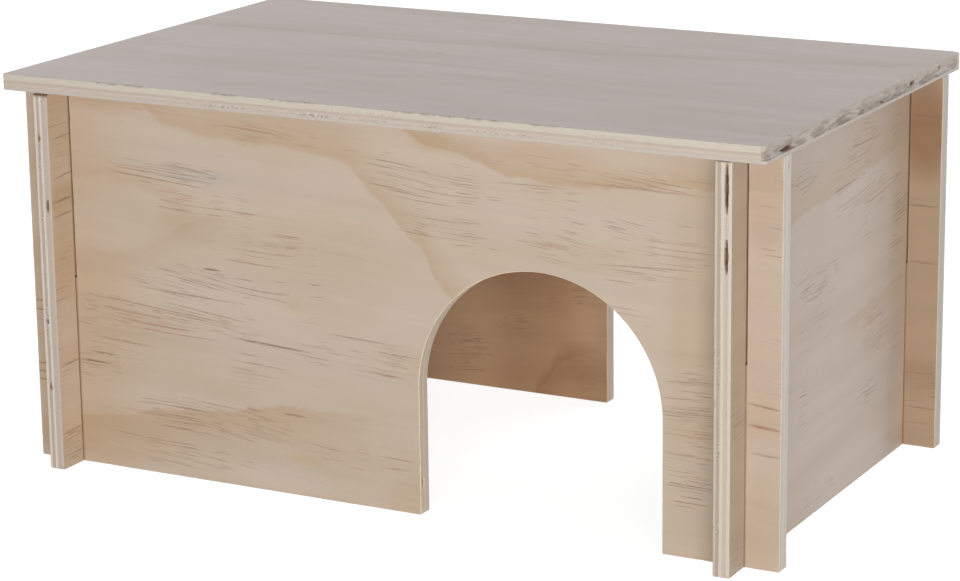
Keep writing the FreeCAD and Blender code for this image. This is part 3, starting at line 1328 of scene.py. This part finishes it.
    def _chip_depths(
        self, outline: Outline, from_face: np.ndarray, is_low: np.ndarray, random: np.random.Generator
    ) -> np.ndarray:
        """Knock small chips out of both arrises.

        Args:
            outline: The board's outline.
            from_face: Distance of each station from the nearer face.
            is_low: True for the stations in the low half.
            random: Where chance comes from.

        Returns:
            Depth of the chips, in metres.
        """
        depths = np.zeros((len(outline.points), len(from_face)))
        spots = [
            (*outline.points[random.integers(len(outline.points))], random.random() < 0.5)
            for _ in range(self.chips)
        ]
        for stretch in self.frayed:
            offsets = random.uniform(-stretch.half_length, stretch.half_length, self.FRAYED_CHIPS)
            spots += [((stretch.along + offset) * MM, stretch.across * MM, False) for offset in offsets]
        for number, (along, across, on_low) in enumerate(spots):
            away = outline.distance_from(along, across)
            half = random.uniform(*self.CHIP_HALF_LENGTHS) * MM
            deepest = self.chip_depth if number < self.chips else self.frayed_depth
            deep = random.uniform(*self.CHIP_DEPTH_SHARES) * deepest
            swell = np.clip(1.0 - (away / half) ** 2, 0.0, 1.0)
            reach = np.clip(1.0 - from_face / self.CHIP_REACH, 0.0, 1.0) * (is_low if on_low else ~is_low)
            depths = np.maximum(depths, swell[:, None] * reach[None, :] * deep)
        return depths

    def _torn(self, outline: Outline, layer: np.ndarray) -> np.ndarray:
        """How torn the edge is, where 1 is tear_depth: nowhere, unless a board says otherwise."""
        return np.zeros((len(outline.points), len(layer)))


@dataclass
class Wall(Board):
    """A wall with a slot, open at the top or at the ground, for each board that crosses it."""

    slot_clearance: float = 0.2 * MM
    slot_end_gap: float = 0.25 * MM

    def _slots(self, mouth: float, end: float) -> list[Corner]:
        """Set out the slots, in the order in which the outline meets them.

        Args:
            mouth: Level of their open ends.
            end: Level of their closed ends.

        Returns:
            Their corners.
        """
        worn = self.corner_wear / 2
        outline = []
        for node in self.CROSSED_BY:
            near, far = (corner[self.LIE.along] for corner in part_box(node))
            sides = [near - self.slot_clearance, far + self.slot_clearance]
            if self.SLOTS_AT_TOP:
                sides.reverse()
            first, last = sides
            outline += [Corner(first, mouth, worn), Corner(first, end)]
            outline += [Corner(last, end), Corner(last, mouth, worn)]
        return outline


@dataclass
class LongWall(Wall):
    """Front or back wall: two slots open at the top and an arched doorway open at the ground."""

    door_width: float = 78 * MM
    door_side_height: float = 39 * MM
    door_margin: float = 36 * MM

    LIE = Lie.LONG_WALL
    CROSSED_BY = ("right_panel", "left_panel")
    SLOTS_AT_TOP = True

    def corners(self) -> list[Corner]:
        """Set out the wall: ground, doorway, ground, right end, top with its two slots, left end.

        Returns:
            Its corners, anticlockwise.
        """
        low, high = self.box
        door_right = high.x - self.door_margin
        door_left = door_right - self.door_width
        radius = self.door_width / 2
        apex = self.door_side_height + radius
        wear = self.corner_wear
        return [
            Corner(low.x, low.z, wear),
            Corner(door_left, low.z, wear),
            Corner(door_left, apex, radius),
            Corner(door_right, apex, radius),
            Corner(door_right, low.z, wear),
            Corner(high.x, low.z, wear),
            Corner(high.x, high.z, wear),
            *self._slots(high.z, (low.z + high.z) / 2 - self.slot_end_gap),
            Corner(low.x, high.z, wear),
        ]


@dataclass
class ShortWall(Wall):
    """Left or right wall: two slots open at the ground."""

    LIE = Lie.SHORT_WALL
    CROSSED_BY = ("front_panel", "back_panel")

    def corners(self) -> list[Corner]:
        """Set out the wall: ground with its two slots, back end, top, front end.

        Returns:
            Its corners, anticlockwise.
        """
        low, high = self.box
        crossed_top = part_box("front_panel")[1].z
        wear = self.corner_wear
        return [
            Corner(low.y, low.z, wear),
            *self._slots(low.z, crossed_top / 2 + self.slot_end_gap),
            Corner(high.y, low.z, wear),
            Corner(high.y, high.z, wear),
            Corner(low.y, high.z, wear),
        ]


@dataclass
class RoofBoard(Board):
    """The loose roof: a plain board with a worn corner and a torn right end."""

    worn_corner: float = 4 * MM
    front_corner: float = 1.5 * MM
    smooth_end: float = 9 * MM
    broken: tuple[Point, ...] = ((0.95, 0.0), (1.25, 0.85), (2.6, 0.62), (4.0, 0.45), (5.0, 0.40))

    FLAKE_CELL = 12 * MM
    FLAKE_CELL_PLIES = 2.4
    SPLINTER_CELL = 3.5 * MM
    SPLINTER_CELL_PLIES = 1.0
    SPLINTER_CHANGE = 0.5
    MEAN_CHANGE = 0.75
    CHANGE_LIMITS = (0.1, 1.3)
    END_MARGIN = 1.2

    def corners(self) -> list[Corner]:
        """Set out the roof.

        Returns:
            Its corners, anticlockwise.
        """
        low, high = self.box
        return [
            Corner(low.x, low.y, self.corner_wear),
            Corner(high.x, low.y, self.front_corner),
            Corner(high.x, high.y, self.worn_corner),
            Corner(low.x, high.y, self.corner_wear),
        ]

    def _torn(self, outline: Outline, layer: np.ndarray) -> np.ndarray:
        """Tear the right end: the lowest ply is whole, and the next ones are broken off deepest.

        Args:
            outline: The roof's outline.
            layer: Plies below each station.

        Returns:
            How torn the edge is, where 1 is tear_depth.
        """
        flakes = outline.ripple(self.FLAKE_CELL, layer, self.FLAKE_CELL_PLIES, self.seed)
        splinters = outline.ripple(self.SPLINTER_CELL, layer, self.SPLINTER_CELL_PLIES, self.seed + 0.5)
        change = self.MEAN_CHANGE + flakes + self.SPLINTER_CHANGE * splinters
        mean = np.interp(layer, *zip(*self.broken))
        torn = mean[None, :] * np.clip(change, *self.CHANGE_LIMITS)
        from_end = self.box[1].x - outline.points[:, 0]
        from_back = self.box[1].y - outline.points[:, 1]
        at_end = np.clip(self.END_MARGIN - from_end / self.front_corner, 0.0, 1.0)
        before_corner = np.clip(from_back / self.smooth_end * 2.0 - 1.0, 0.0, 1.0)
        return torn * (at_end * before_corner)[:, None]


@dataclass
class Batten(Part):
    """A planed strip glued under the roof, with bevelled lower edges."""

    finish: PlanedStrip
    bevel: float = 1.5 * MM
    arris: float = 0.25 * MM
    planing_marks: float = 0.03 * MM
    spacing: float = 0.6 * MM
    rows: int = 60

    PLANING_CELL = (2 * MM, 6 * MM)

    def build(self) -> bpy.types.Object:
        """Make the strip, put it in place of its CAD node and dress it.

        Returns:
            The new piece.
        """
        low, high = self.box
        corners = [
            Corner(low.x, low.z + self.bevel, self.arris),
            Corner(low.x + self.bevel, low.z, self.arris),
            Corner(high.x - self.bevel, low.z, self.arris),
            Corner(high.x, low.z + self.bevel, self.arris),
            Corner(high.x, high.z),
            Corner(low.x, high.z),
        ]
        outline = Outline(corners, self.spacing)
        length = high.y - low.y
        stations = stations_through(length, self.arris, np.linspace(0.0, length, self.rows)[1:-1])
        round_cell, through_cell = self.PLANING_CELL
        planed = outline.ripple(round_cell, stations, through_cell, self.seed)
        cut = rounding(np.minimum(stations, length - stations), self.arris)[None, :]
        skin = Skin(outline, stations + low.y, cut + (1.0 + planed) * self.planing_marks)
        return self.place(skin.mesh(self.piece, Lie.LONG_WALL), [self.finish.material()] * 3)


# --- The house's own boards -----------------------------------------------------------------------


@dataclass
class Walls:
    """The four walls, which cross in half-height slots."""

    body: str = "walls"
    long_slot: str = "long_wall_plywood"
    short_slot: str = "short_wall_plywood"

    def build(self) -> list[bpy.types.Object]:
        """Make the four walls."""
        return [board.build() for board in (self.front(), self.back(), self.left(), self.right())]

    def front(self) -> LongWall:
        """The front wall: growth lines sweep over it, and streaks lie in loose clusters.

        Returns:
            The wall.
        """
        return LongWall(
            node="front_panel",
            piece="front_wall_board",
            body=self.body,
            slot=self.long_slot,
            seed=11,
            low_face=self._front_veneer(),
            high_face=Veneer(
                "front_wall_inner_veneer", 2, pale=(0.520, 0.365, 0.240), tan=(0.430, 0.275, 0.165)
            ),
            edge=CutEdge(
                "front_wall_plies",
                3,
                stripes=(
                    (0.565, 0.495, 0.425),
                    (0.575, 0.510, 0.450),
                    (0.610, 0.545, 0.480),
                    (0.560, 0.495, 0.435),
                    (0.590, 0.515, 0.455),
                ),
                speck_amount=0.06,
                # Painted light on the doorway's jambs.
                jamb_painted_light=Oval(50, 30, 60, 130),
            ),
        )

    @staticmethod
    def _front_veneer() -> Veneer:
        """The front wall's outer face.

        Returns:
            Its finish.
        """
        arch_line = GrowthLine(
            (
                (-90, 119), (-82, 113.5), (-76, 109.3), (-69, 107.6), (-62, 106.6), (-45, 105.4),
                (-30, 104.8), (-12, 102.5), (-5, 96), (2, 89.5), (9, 83), (14.5, 78), (16, 73),
                (22, 66), (40, 50),
            ),
            fade=17,
            strength=0.7,
            reach=(-90, 40),
            blur=2.2,
        )
        top_line = GrowthLine(
            (
                (0, 119), (4.5, 116.2), (9.7, 113), (16, 110.8), (24, 109.4), (32, 107.8), (38, 105.2),
                (45, 104.2), (57, 103.6), (70, 104), (84, 105.4), (112, 107.2),
            ),
            fade=9,
            strength=0.9,
            reach=(2, 200),
        )
        tongue_top = GrowthLine(
            ((-125, 90), (-105, 90), (-92, 89.5), (-80, 87), (-70, 82), (-60, 79)),
            fade=11,
            strength=0.5,
            reach=(-200, -70),
            blur=3.0,
        )
        tongue_foot = GrowthLine(
            ((-125, 70.5), (-105, 71), (-92, 71), (-84, 73), (-76, 77.5), (-66, 83), (-56, 86)),
            fade=-12,
            strength=0.55,
            reach=(-200, -64),
            blur=3.0,
        )
        foot_line = GrowthLine(
            (
                (-125, 13.5), (-105, 16.6), (-92, 18.6), (-76, 22), (-64, 23), (-50, 25), (-32, 28.2),
                (-20, 28), (-3, 29), (12, 29),
            ),
            fade=-22,
            strength=0.80,
            reach=(-200, -40),
            soft=50,
        )
        return Veneer(
            "front_wall_outer_veneer",
            1,
            rings=0.0,
            stray_streaks=0.10,
            lines=(arch_line, top_line, tongue_top, tongue_foot, foot_line),
            patches=(
                StreakPatch(-74, 95, 24, 5, 0.48),
                StreakPatch(-62, 87, 24, 5, 0.48),
                StreakPatch(-34, 77, 12, 6, 0.60),
                StreakPatch(-66, 62, 26, 7, 0.60),
                StreakPatch(-76, 50, 42, 7, 0.60),
                StreakPatch(-8, 46, 24, 7, 0.44),
                StreakPatch(-104, 33, 12, 9, 0.72),
                StreakPatch(-104, 46, 8, 12, 0.60),
                StreakPatch(-58, 20, 36, 7, 0.60),
                StreakPatch(-12, 15, 28, 5, 0.48),
                StreakPatch(-68, 7, 24, 6, 0.52),
                StreakPatch(18, 100, 24, 7, 0.48),
                StreakPatch(24, 86, 16, 7, 0.48),
                StreakPatch(75, 88, 36, 12, 0.40),
                StreakPatch(98, 35, 10, 24, 0.60),
                StreakPatch(-40, 110, 28, 4, 0.40),
                StreakPatch(72, 108, 34, 4, 0.48),
            ),
            streaks=(
                Streak(-59.5, 66.8, 3.5, 0.45, 0.02, 0.85),
                Streak(-100, 36, 6, 0.35, 0.04, 0.70),
                Streak(-103, 33, 7, 0.45, 0.02, 0.80),
                Streak(-68, 58, 19, 0.35, 0.04, 0.55),
                Streak(-39, 45.8, 16, 0.45, 0.05, 0.75),
                Streak(0, 41.5, 8, 0.35, 0.06, 0.55),
                Streak(-9, 51.3, 12, 0.35, 0.04, 0.50),
                Streak(-78, 47, 12, 0.35, 0.04, 0.55),
                Streak(-64, 96.5, 4, 0.40, 0.00, 0.45),
                Streak(82, 105.3, 24, 0.45, 0.01, 0.38),
                Streak(-32, 25, 5, 0.40, 0.03, 0.60),
                Streak(85, 83.2, 18, 0.35, -0.04, 0.45),
                Streak(120, 47.5, 6, 0.45, 0.10, 0.60),
                Streak(120, 41.5, 6, 0.55, 0.08, 0.75),
                Streak(121, 33.5, 5, 0.40, 0.06, 0.45),
                *(Streak(-123.5, level, 3, 0.40, 0.0, 0.60) for level in (50.2, 47.3, 30.0, 27.4, 24.8)),
            ),
            stains_and_painted_light=(
                StainAndPaintedLight(-114, 56, 36, 70, (0.450, 0.320, 0.205), 0.60),
                StainAndPaintedLight(-104, 77, 34, 12, (0.535, 0.445, 0.365), 0.42),
                # Partly tan in the wood and partly painted shade under the roof's front edge.
                StainAndPaintedLight(-95, 118, 26, 7, (0.430, 0.305, 0.190), 0.75),
                StainAndPaintedLight(5, 119, 100, 2.6, (0.430, 0.310, 0.200), 0.80),
                StainAndPaintedLight(52, 112, 22, 4.5, (0.430, 0.300, 0.190), 0.45),
                StainAndPaintedLight(17, 113, 9, 3.5, (0.430, 0.300, 0.180), 0.55),
                StainAndPaintedLight(-62, 95, 17, 3, (0.400, 0.355, 0.325), 0.35),
                StainAndPaintedLight(-72, 81, 8, 3.5, (0.430, 0.300, 0.180), 0.35),
                StainAndPaintedLight(-31, 59, 3, 2.5, (0.440, 0.300, 0.170), 0.32),
                StainAndPaintedLight(8, 4, 12, 8, (0.450, 0.325, 0.200), 0.50),
                StainAndPaintedLight(-28, 11.5, 9, 2, (0.430, 0.300, 0.175), 0.40),
                StainAndPaintedLight(-96, 10, 30, 12, (0.430, 0.295, 0.175), 0.42),
                StainAndPaintedLight(-38, 4, 26, 5, (0.530, 0.440, 0.355), 0.50),
                # Painted shade beside the right wall's front end.
                StainAndPaintedLight(98, 62, 9, 70, (0.435, 0.320, 0.205), 0.50),
                StainAndPaintedLight(120, 64, 9, 34, (0.475, 0.365, 0.275), 0.75),
                StainAndPaintedLight(120, 45, 9, 8, (0.475, 0.345, 0.230), 0.60),
                StainAndPaintedLight(120, 108, 9, 22, (0.440, 0.325, 0.235), 0.80),
                StainAndPaintedLight(120, 12, 9, 20, (0.455, 0.345, 0.245), 0.80),
            ),
        )

    def back(self) -> LongWall:
        """The back wall, whose inner face is browner than the others.

        Returns:
            The wall.
        """
        bend = (
            (-40, -60), (-20, -14), (-16.5, -5), (-14.1, 1.1), (-10.4, 5), (-7.9, 9.9), (-4, 12.9),
            (3.8, 15.1), (11, 16.2), (20, 17),
        )
        inner = Veneer(
            "back_wall_inner_veneer",
            4,
            pale=(0.480, 0.285, 0.160),
            tan=(0.335, 0.172, 0.082),
            slope=-0.12,
            rings=0.0,
            stray_streaks=0.10,
            streak_length=0.45,
            lines=(
                GrowthLine(
                    tuple((along, level + 0.5) for along, level in bend),
                    fade=-20,
                    strength=0.50,
                    reach=(-18, 30),
                    soft=4,
                    blur=0.2,
                ),
                GrowthLine(bend, fade=7, strength=0.85, reach=(-18, 3), soft=14, blur=0.2),
                GrowthLine(((-70, 52), (-45, 44), (-25, 40), (-12, 42), (6, 50)), 16, 0.32, (-80, 30)),
            ),
            patches=(
                StreakPatch(-44, 12, 13, 10, 0.46),
                StreakPatch(-24, 24, 9, 5, 0.36),
                StreakPatch(-9, 31, 8, 6, 0.50),
                StreakPatch(4, 35, 7, 5, 0.34),
            ),
            streaks=(
                Streak(120, 106, 7, 0.45, 0.01, 0.55),
                Streak(121, 103.5, 5, 0.30, 0.01, 0.35),
                Streak(119, 77.7, 7, 0.40, 0.00, 0.55),
                Streak(120, 59.7, 7, 0.40, 0.01, 0.60),
                Streak(119, 24, 6, 0.30, 0.00, 0.35),
                Streak(120, 12.8, 6, 0.40, 0.02, 0.50),
                Streak(119, 7.7, 6, 0.30, 0.00, 0.40),
            ),
            stains_and_painted_light=(
                StainAndPaintedLight(-17, 40, 16, 12, (0.395, 0.215, 0.110), 0.55),
                # Painted light: paler ovals where the doorway leaves this face in shade.
                StainAndPaintedLight(-46, 14, 23, 40, (0.640, 0.395, 0.235), 0.85),
                StainAndPaintedLight(9, 27, 14, 19, (0.720, 0.460, 0.280), 0.34),
                # Beyond the right wall: partly browner veneer and partly painted shade; the next one is
                # painted shade under the roof.
                StainAndPaintedLight(120, 60, 9, 200, (0.345, 0.240, 0.153), 1.0),
                StainAndPaintedLight(120, 101, 12, 18, (0.248, 0.138, 0.071), 1.0),
                StainAndPaintedLight(120, 23, 12, 8, (0.300, 0.200, 0.115), 0.75),
            ),
        )
        return LongWall(
            node="back_panel",
            piece="back_wall_board",
            body=self.body,
            slot=self.long_slot,
            seed=12,
            low_face=inner,
            high_face=Veneer("back_wall_outer_veneer", 5),
            edge=CutEdge(
                "back_wall_plies",
                6,
                stripes=(
                    (0.530, 0.460, 0.360),
                    (0.470, 0.415, 0.335),
                    (0.490, 0.440, 0.370),
                    (0.460, 0.420, 0.370),
                    (0.530, 0.490, 0.440),
                ),
                # Painted light on the doorway's jambs.
                jamb_painted_light=Oval(11, 30, 30, 130),
                jamb_painted_light_tint=(1.36, 1.21, 1.12),
            ),
        )

    def left(self) -> ShortWall:
        """The left wall, whose front end is speckled along its second ply.

        Returns:
            The wall.
        """
        inner = Veneer(
            "left_wall_inner_veneer",
            8,
            pale=(0.575, 0.450, 0.325),
            tan=(0.500, 0.355, 0.225),
            slope=0.0,
            rings=0.45,
            streaks=(
                Streak(-69, 104, 6, 0.35, -0.05, 0.50),
                Streak(-69, 92, 6, 0.35, -0.10, 0.60),
                Streak(-70, 84.5, 6, 0.45, -0.05, 0.65),
                Streak(-70, 80, 6, 0.35, -0.05, 0.55),
                Streak(-70, 33, 6, 0.40, -0.05, 0.55),
            ),
            patches=(StreakPatch(-70, 8, 8, 8, 0.64),),
            stains_and_painted_light=(
                StainAndPaintedLight(-70, 85, 9, 6, (0.450, 0.290, 0.165), 0.60),
                StainAndPaintedLight(-70, 35, 9, 4, (0.450, 0.290, 0.165), 0.50),
                StainAndPaintedLight(-70, 11, 9, 7, (0.560, 0.400, 0.255), 0.50),
                StainAndPaintedLight(-70, 28, 9, 30, (0.640, 0.500, 0.370), 0.60),
                StainAndPaintedLight(-70, 68, 9, 15, (0.545, 0.385, 0.255), 0.85),
                StainAndPaintedLight(-70, 118, 9, 7, (0.540, 0.400, 0.270), 0.80),
            ),
        )
        return ShortWall(
            node="left_panel",
            piece="left_wall_board",
            body=self.body,
            slot=self.short_slot,
            seed=13,
            low_face=Veneer("left_wall_outer_veneer", 7, slope=0.05),
            high_face=inner,
            edge=CutEdge(
                "left_wall_plies",
                9,
                stripes=(
                    (0.640, 0.545, 0.445),
                    (0.430, 0.350, 0.295),
                    (0.640, 0.560, 0.470),
                    (0.470, 0.390, 0.335),
                    (0.510, 0.410, 0.335),
                ),
                widths=(0.18, 0.22, 0.15, 0.29, 0.16),
                patches=(
                    EdgePatch(98, 8, 1, 0.8),
                    EdgePatch(78, 5, 1, 0.7),
                    EdgePatch(61, 2, 1, 0.7),
                    EdgePatch(48, 8, 1, 0.9),
                    EdgePatch(22, 3, 1, 0.6),
                ),
            ),
            hollows=(
                Hollow(-76, 26, 0.8, 1, 1.2),
                Hollow(-76, 104, 0.9, 1, 0.8),
                *(Hollow(-76, 118, 0.8, ply, 0.9) for ply in range(PLIES)),
            ),
            random_hollows=2,
        )

    def right(self) -> ShortWall:
        """The right wall, whose front end shows two long gaps in its fourth ply.

        Returns:
            The wall.
        """
        outer = Veneer(
            "right_wall_outer_veneer",
            15,
            pale=(0.502, 0.408, 0.338),
            tan=(0.430, 0.315, 0.220),
            streak=(0.145, 0.088, 0.055),
            red=(0.225, 0.110, 0.062),
            rings=0.0,
            slope=-0.06,
            lines=(
                GrowthLine(((-76, 88), (-35, 91), (0, 93), (30, 95.5), (76, 99)), 26, 0.75),
                GrowthLine(((-76, 50), (0, 52), (30, 55), (76, 60)), -12, 0.60, (16, 100)),
            ),
            patches=(
                StreakPatch(-22, 103, 14, 5, 0.66),
                StreakPatch(24, 105, 14, 5, 0.76),
                StreakPatch(28, 88, 34, 4, 0.60),
                StreakPatch(-14, 70, 20, 7, 0.72),
                StreakPatch(52, 74, 12, 11, 0.84),
                StreakPatch(34, 44, 12, 10, 0.72),
                StreakPatch(-10, 5, 14, 5, 0.48),
                StreakPatch(30, 26, 12, 5, 0.48),
            ),
            stains_and_painted_light=(
                # Painted warm bounce light and shade towards the back, by the back wall's protruding end.
                StainAndPaintedLight(66, 84, 24, 66, (0.535, 0.415, 0.290), 0.80),
                StainAndPaintedLight(64, 14, 16, 34, (0.600, 0.475, 0.362), 0.80),
                # Painted shade on the front end, in the corner by the front wall's protruding end.
                StainAndPaintedLight(-71, 60, 7, 100, (0.495, 0.375, 0.255), 0.85),
            ),
            stray_streaks=0.12,
            roughness=0.42,
        )
        return ShortWall(
            node="right_panel",
            piece="right_wall_board",
            body=self.body,
            slot=self.short_slot,
            seed=17,
            low_face=Veneer("right_wall_inner_veneer", 14, pale=(0.520, 0.365, 0.240), slope=0.05),
            high_face=outer,
            edge=CutEdge(
                "right_wall_plies",
                16,
                stripes=(
                    (0.555, 0.455, 0.355),
                    (0.390, 0.320, 0.252),
                    (0.600, 0.520, 0.430),
                    (0.500, 0.430, 0.350),
                    (0.590, 0.510, 0.420),
                ),
                widths=(0.15, 0.21, 0.20, 0.24, 0.20),
                patches=(
                    EdgePatch(60, 9, 1, 0.6),
                    EdgePatch(36.5, 4, 1, 0.6),
                    EdgePatch(14, 3, 1, 0.6),
                    EdgePatch(101, 2, 3, 0.6),
                ),
            ),
            hollows=(Hollow(-76, 110.5, 7, 3, 1.6), Hollow(-76, 91.5, 4.5, 3, 1.4)),
            random_hollows=2,
        )


@dataclass
class Roof:
    """The loose roof and the two strips under it."""

    body: str = "roof"
    board_slot: str = "roof_plywood"
    strip_slot: str = "batten_pine"

    def build(self) -> list[bpy.types.Object]:
        """Make the board and both strips."""
        return [part.build() for part in (self.board(), *self.strips())]

    def board(self) -> RoofBoard:
        """The roof board, pale on top with a greyish cast that is partly painted sheen, with speckled plies
        along the front and a torn right end.

        Returns:
            The board.
        """
        top = Veneer(
            "roof_top_veneer",
            21,
            # Greyer and cooler than the walls: partly the veneer's own tone and partly painted sheen from the
            # white surround.
            pale=(0.585, 0.484, 0.440),
            tan=(0.455, 0.355, 0.305),
            rings=0.0,
            stray_streaks=0.02,
            lines=(
                GrowthLine(
                    ((-140, 14), (-110, 20), (-40, 21), (0, 24), (40, 28), (70, 34), (125, 46)), 13, 0.5
                ),
                GrowthLine(((-125, -20), (-100, -17), (-60, -13), (10, -12), (60, -12)), 6, 0.35, (-110, 30)),
                GrowthLine(((-125, -27), (-60, -23), (0, -20), (60, -19), (125, -21)), -30, 0.15),
            ),
            streaks=(Streak(-20, 7, 2, 0.5, 0.0, 0.6),),
            roughness=0.40,
        )
        return RoofBoard(
            node="roof_panel",
            piece="roof_board",
            body=self.body,
            slot=self.board_slot,
            seed=24,
            low_face=Veneer("roof_underside_veneer", 22),
            high_face=top,
            edge=CutEdge(
                "roof_plies",
                23,
                stripes=(
                    (0.500, 0.430, 0.370),
                    (0.490, 0.410, 0.335),
                    (0.520, 0.440, 0.370),
                    (0.472, 0.392, 0.320),
                    (0.545, 0.485, 0.405),
                ),
                widths=(0.22, 0.07, 0.16, 0.16, 0.39),
                speck_amount=0.30,
                patches=(
                    EdgePatch(-46, 20, 1, 0.60),
                    EdgePatch(-13, 12, 1, 0.75),
                    EdgePatch(23, 5, 1, 0.60),
                    EdgePatch(46, 14, 1, 0.50),
                ),
                patches_run_along=True,
            ),
            hollows=(
                Hollow(125, -62, 4.0, 1, 1.3),
                Hollow(125, 10, 1.5, 1, 1.0),
                Hollow(125, 35, 2.5, 2, 1.5),
                Hollow(125, 58, 1.2, 3, 0.9),
                Hollow(-60, 77.5, 1.4, 3, 0.8),
                Hollow(30, 77.5, 2.0, 1, 0.9),
                Hollow(-124, 10, 1.2, 3, 0.7),
            ),
            frayed=(
                Frayed(-81, -77.5, 9),
                Frayed(-46, -77.5, 4),
                Frayed(-22, -77.5, 10),
                Frayed(18, -77.5, 8),
                Frayed(36, -77.5, 10),
                Frayed(58, -77.5, 4),
            ),
            random_hollows=0,
            spacing=0.5 * MM,
        )

    def strips(self) -> list[Batten]:
        """The strip at each end.

        Returns:
            Both strips.
        """
        return [
            Batten(
                node=f"roof_batten_{end}",
                piece=f"roof_strip_{end}",
                body=self.body,
                slot=self.strip_slot,
                seed=seed,
                finish=PlanedStrip(f"roof_strip_{end}_pine", seed),
            )
            for seed, end in ((31, "left"), (32, "right"))
        ]


# --- Studio ---------------------------------------------------------------------------------------


@dataclass(frozen=True)
class Lamp:
    """A large soft lamp: its direction from the front towards +X and its height, in degrees."""

    name: str
    direction: float
    height: float
    power: float
    width: float = 1.3
    tall: float = 1.3
    distance: float = 1.8
    colour: Colour = (1.0, 1.0, 1.0)
    target: tuple[float, float, float] = (0.0, 0.0, 0.06)

    def build(self) -> None:
        """Hang the lamp, turned towards the house."""
        light = bpy.data.lights.new(self.name, "AREA")
        light.shape = "RECTANGLE"
        light.size = self.width
        light.size_y = self.tall
        light.energy = self.power
        light.color = self.colour
        turn, rise = math.radians(self.direction), math.radians(self.height)
        level = math.cos(rise)
        towards = Vector((math.sin(turn) * level, -math.cos(turn) * level, math.sin(rise)))
        lamp = put_in_scene(self.name, light)
        lamp.location = Vector(self.target) + towards * self.distance
        lamp.rotation_euler = towards.to_track_quat("Z", "Y").to_euler()


@dataclass
class Studio:
    """A white floor and surround, three soft lamps, and the camera."""

    camera_place: tuple[float, float, float] = (0.43153, -0.80641, 0.29273)
    camera_turn: tuple[float, float, float] = (75.97, 0.342, 26.70)
    lens: float = 114.22
    shift: Point = (-0.0839, -0.0417)
    lamps: tuple[Lamp, ...] = (
        Lamp("front_lamp", direction=27.0, height=6.2, power=25.0, tall=0.42),
        Lamp("back_lamp", direction=155.0, height=24.0, power=15.0, colour=(0.93, 0.96, 1.0)),
        Lamp("left_lamp", direction=247.0, height=15.0, power=11.0),
    )
    surround: Colour = (0.275, 0.28, 0.295)
    floor_albedo: Colour = (0.86, 0.86, 0.85)
    floor_shadow_albedo: Colour = (0.35, 0.35, 0.35)
    floor_glow: float = 0.90
    floor_half: float = 3.0

    def build(self) -> None:
        """Make the stage, the lights and the camera."""
        self._floor()
        self._surround()
        for lamp in self.lamps:
            lamp.build()
        self._camera()
        bpy.context.scene.view_settings.view_transform = "Standard"

    @staticmethod
    def _seen(graph: Graph) -> Wire:
        """Tell the rays that show the stage itself: from the camera, or by way of gloss or glass.

        Args:
            graph: The graph to build in.

        Returns:
            1 for such a ray and 0 for any other.
        """
        path = graph.node("ShaderNodeLightPath")
        names = ("Is Camera Ray", "Is Glossy Ray", "Is Transmission Ray")
        camera, gloss, glass = (graph.wire(path, name) for name in names)
        return graph.maths("MINIMUM", camera + gloss + glass, 1.0)

    def _floor(self) -> None:
        """A plain floor that looks white and keeps a soft shadow."""
        half = self.floor_half
        mesh = bpy.data.meshes.new("studio_floor")
        corners = [(-half, -half, 0.0), (half, -half, 0.0), (half, half, 0.0), (-half, half, 0.0)]
        mesh.from_pydata(corners, [], [(0, 1, 2, 3)])
        floor = put_in_scene("studio_floor", mesh)
        material, graph = new_material("studio_floor")
        plain = graph.node("ShaderNodeBsdfDiffuse", inputs={"Color": self.floor_albedo})
        shadowed = graph.node("ShaderNodeBsdfDiffuse", inputs={"Color": self.floor_shadow_albedo})
        glow = graph.node("ShaderNodeEmission", inputs={"Strength": self.floor_glow})
        white = graph.node("ShaderNodeAddShader", inputs={0: graph.wire(shadowed), 1: graph.wire(glow)})
        either = {0: self._seen(graph), 1: graph.wire(plain), 2: graph.wire(white)}
        mixed = graph.node("ShaderNodeMixShader", inputs=either)
        graph.node("ShaderNodeOutputMaterial", inputs={"Surface": graph.wire(mixed)})
        mesh.materials.append(material)

    def _surround(self) -> None:
        """The world: white to look at, and a soft even light."""
        world = bpy.data.worlds.new("studio_surround")
        world.use_nodes = True
        bpy.context.scene.world = world
        graph = Graph(world.node_tree)
        colour = graph.mix(self.surround, (1.0, 1.0, 1.0), self._seen(graph))
        background = graph.node("ShaderNodeBackground", inputs={"Color": colour})
        graph.node("ShaderNodeOutputWorld", inputs={"Surface": graph.wire(background)})

    def _camera(self) -> None:
        """The camera, a little above the roof and to the right."""
        data = bpy.data.cameras.new("studio_camera")
        data.lens = self.lens
        data.shift_x, data.shift_y = self.shift
        camera = put_in_scene("studio_camera", data)
        camera.location = self.camera_place
        camera.rotation_euler = Euler([math.radians(angle) for angle in self.camera_turn])
        bpy.context.scene.camera = camera


def main() -> None:
    """Build the studio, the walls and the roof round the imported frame."""
    logging.basicConfig(level=logging.INFO, format="%(name)s: %(message)s")
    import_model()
    Studio().build()
    for assembly in (Walls(), Roof()):
        for piece in assembly.build():
            LOG.info("%s: %d faces", piece.name, len(piece.data.polygons))


if __name__ == "__main__":
    main()
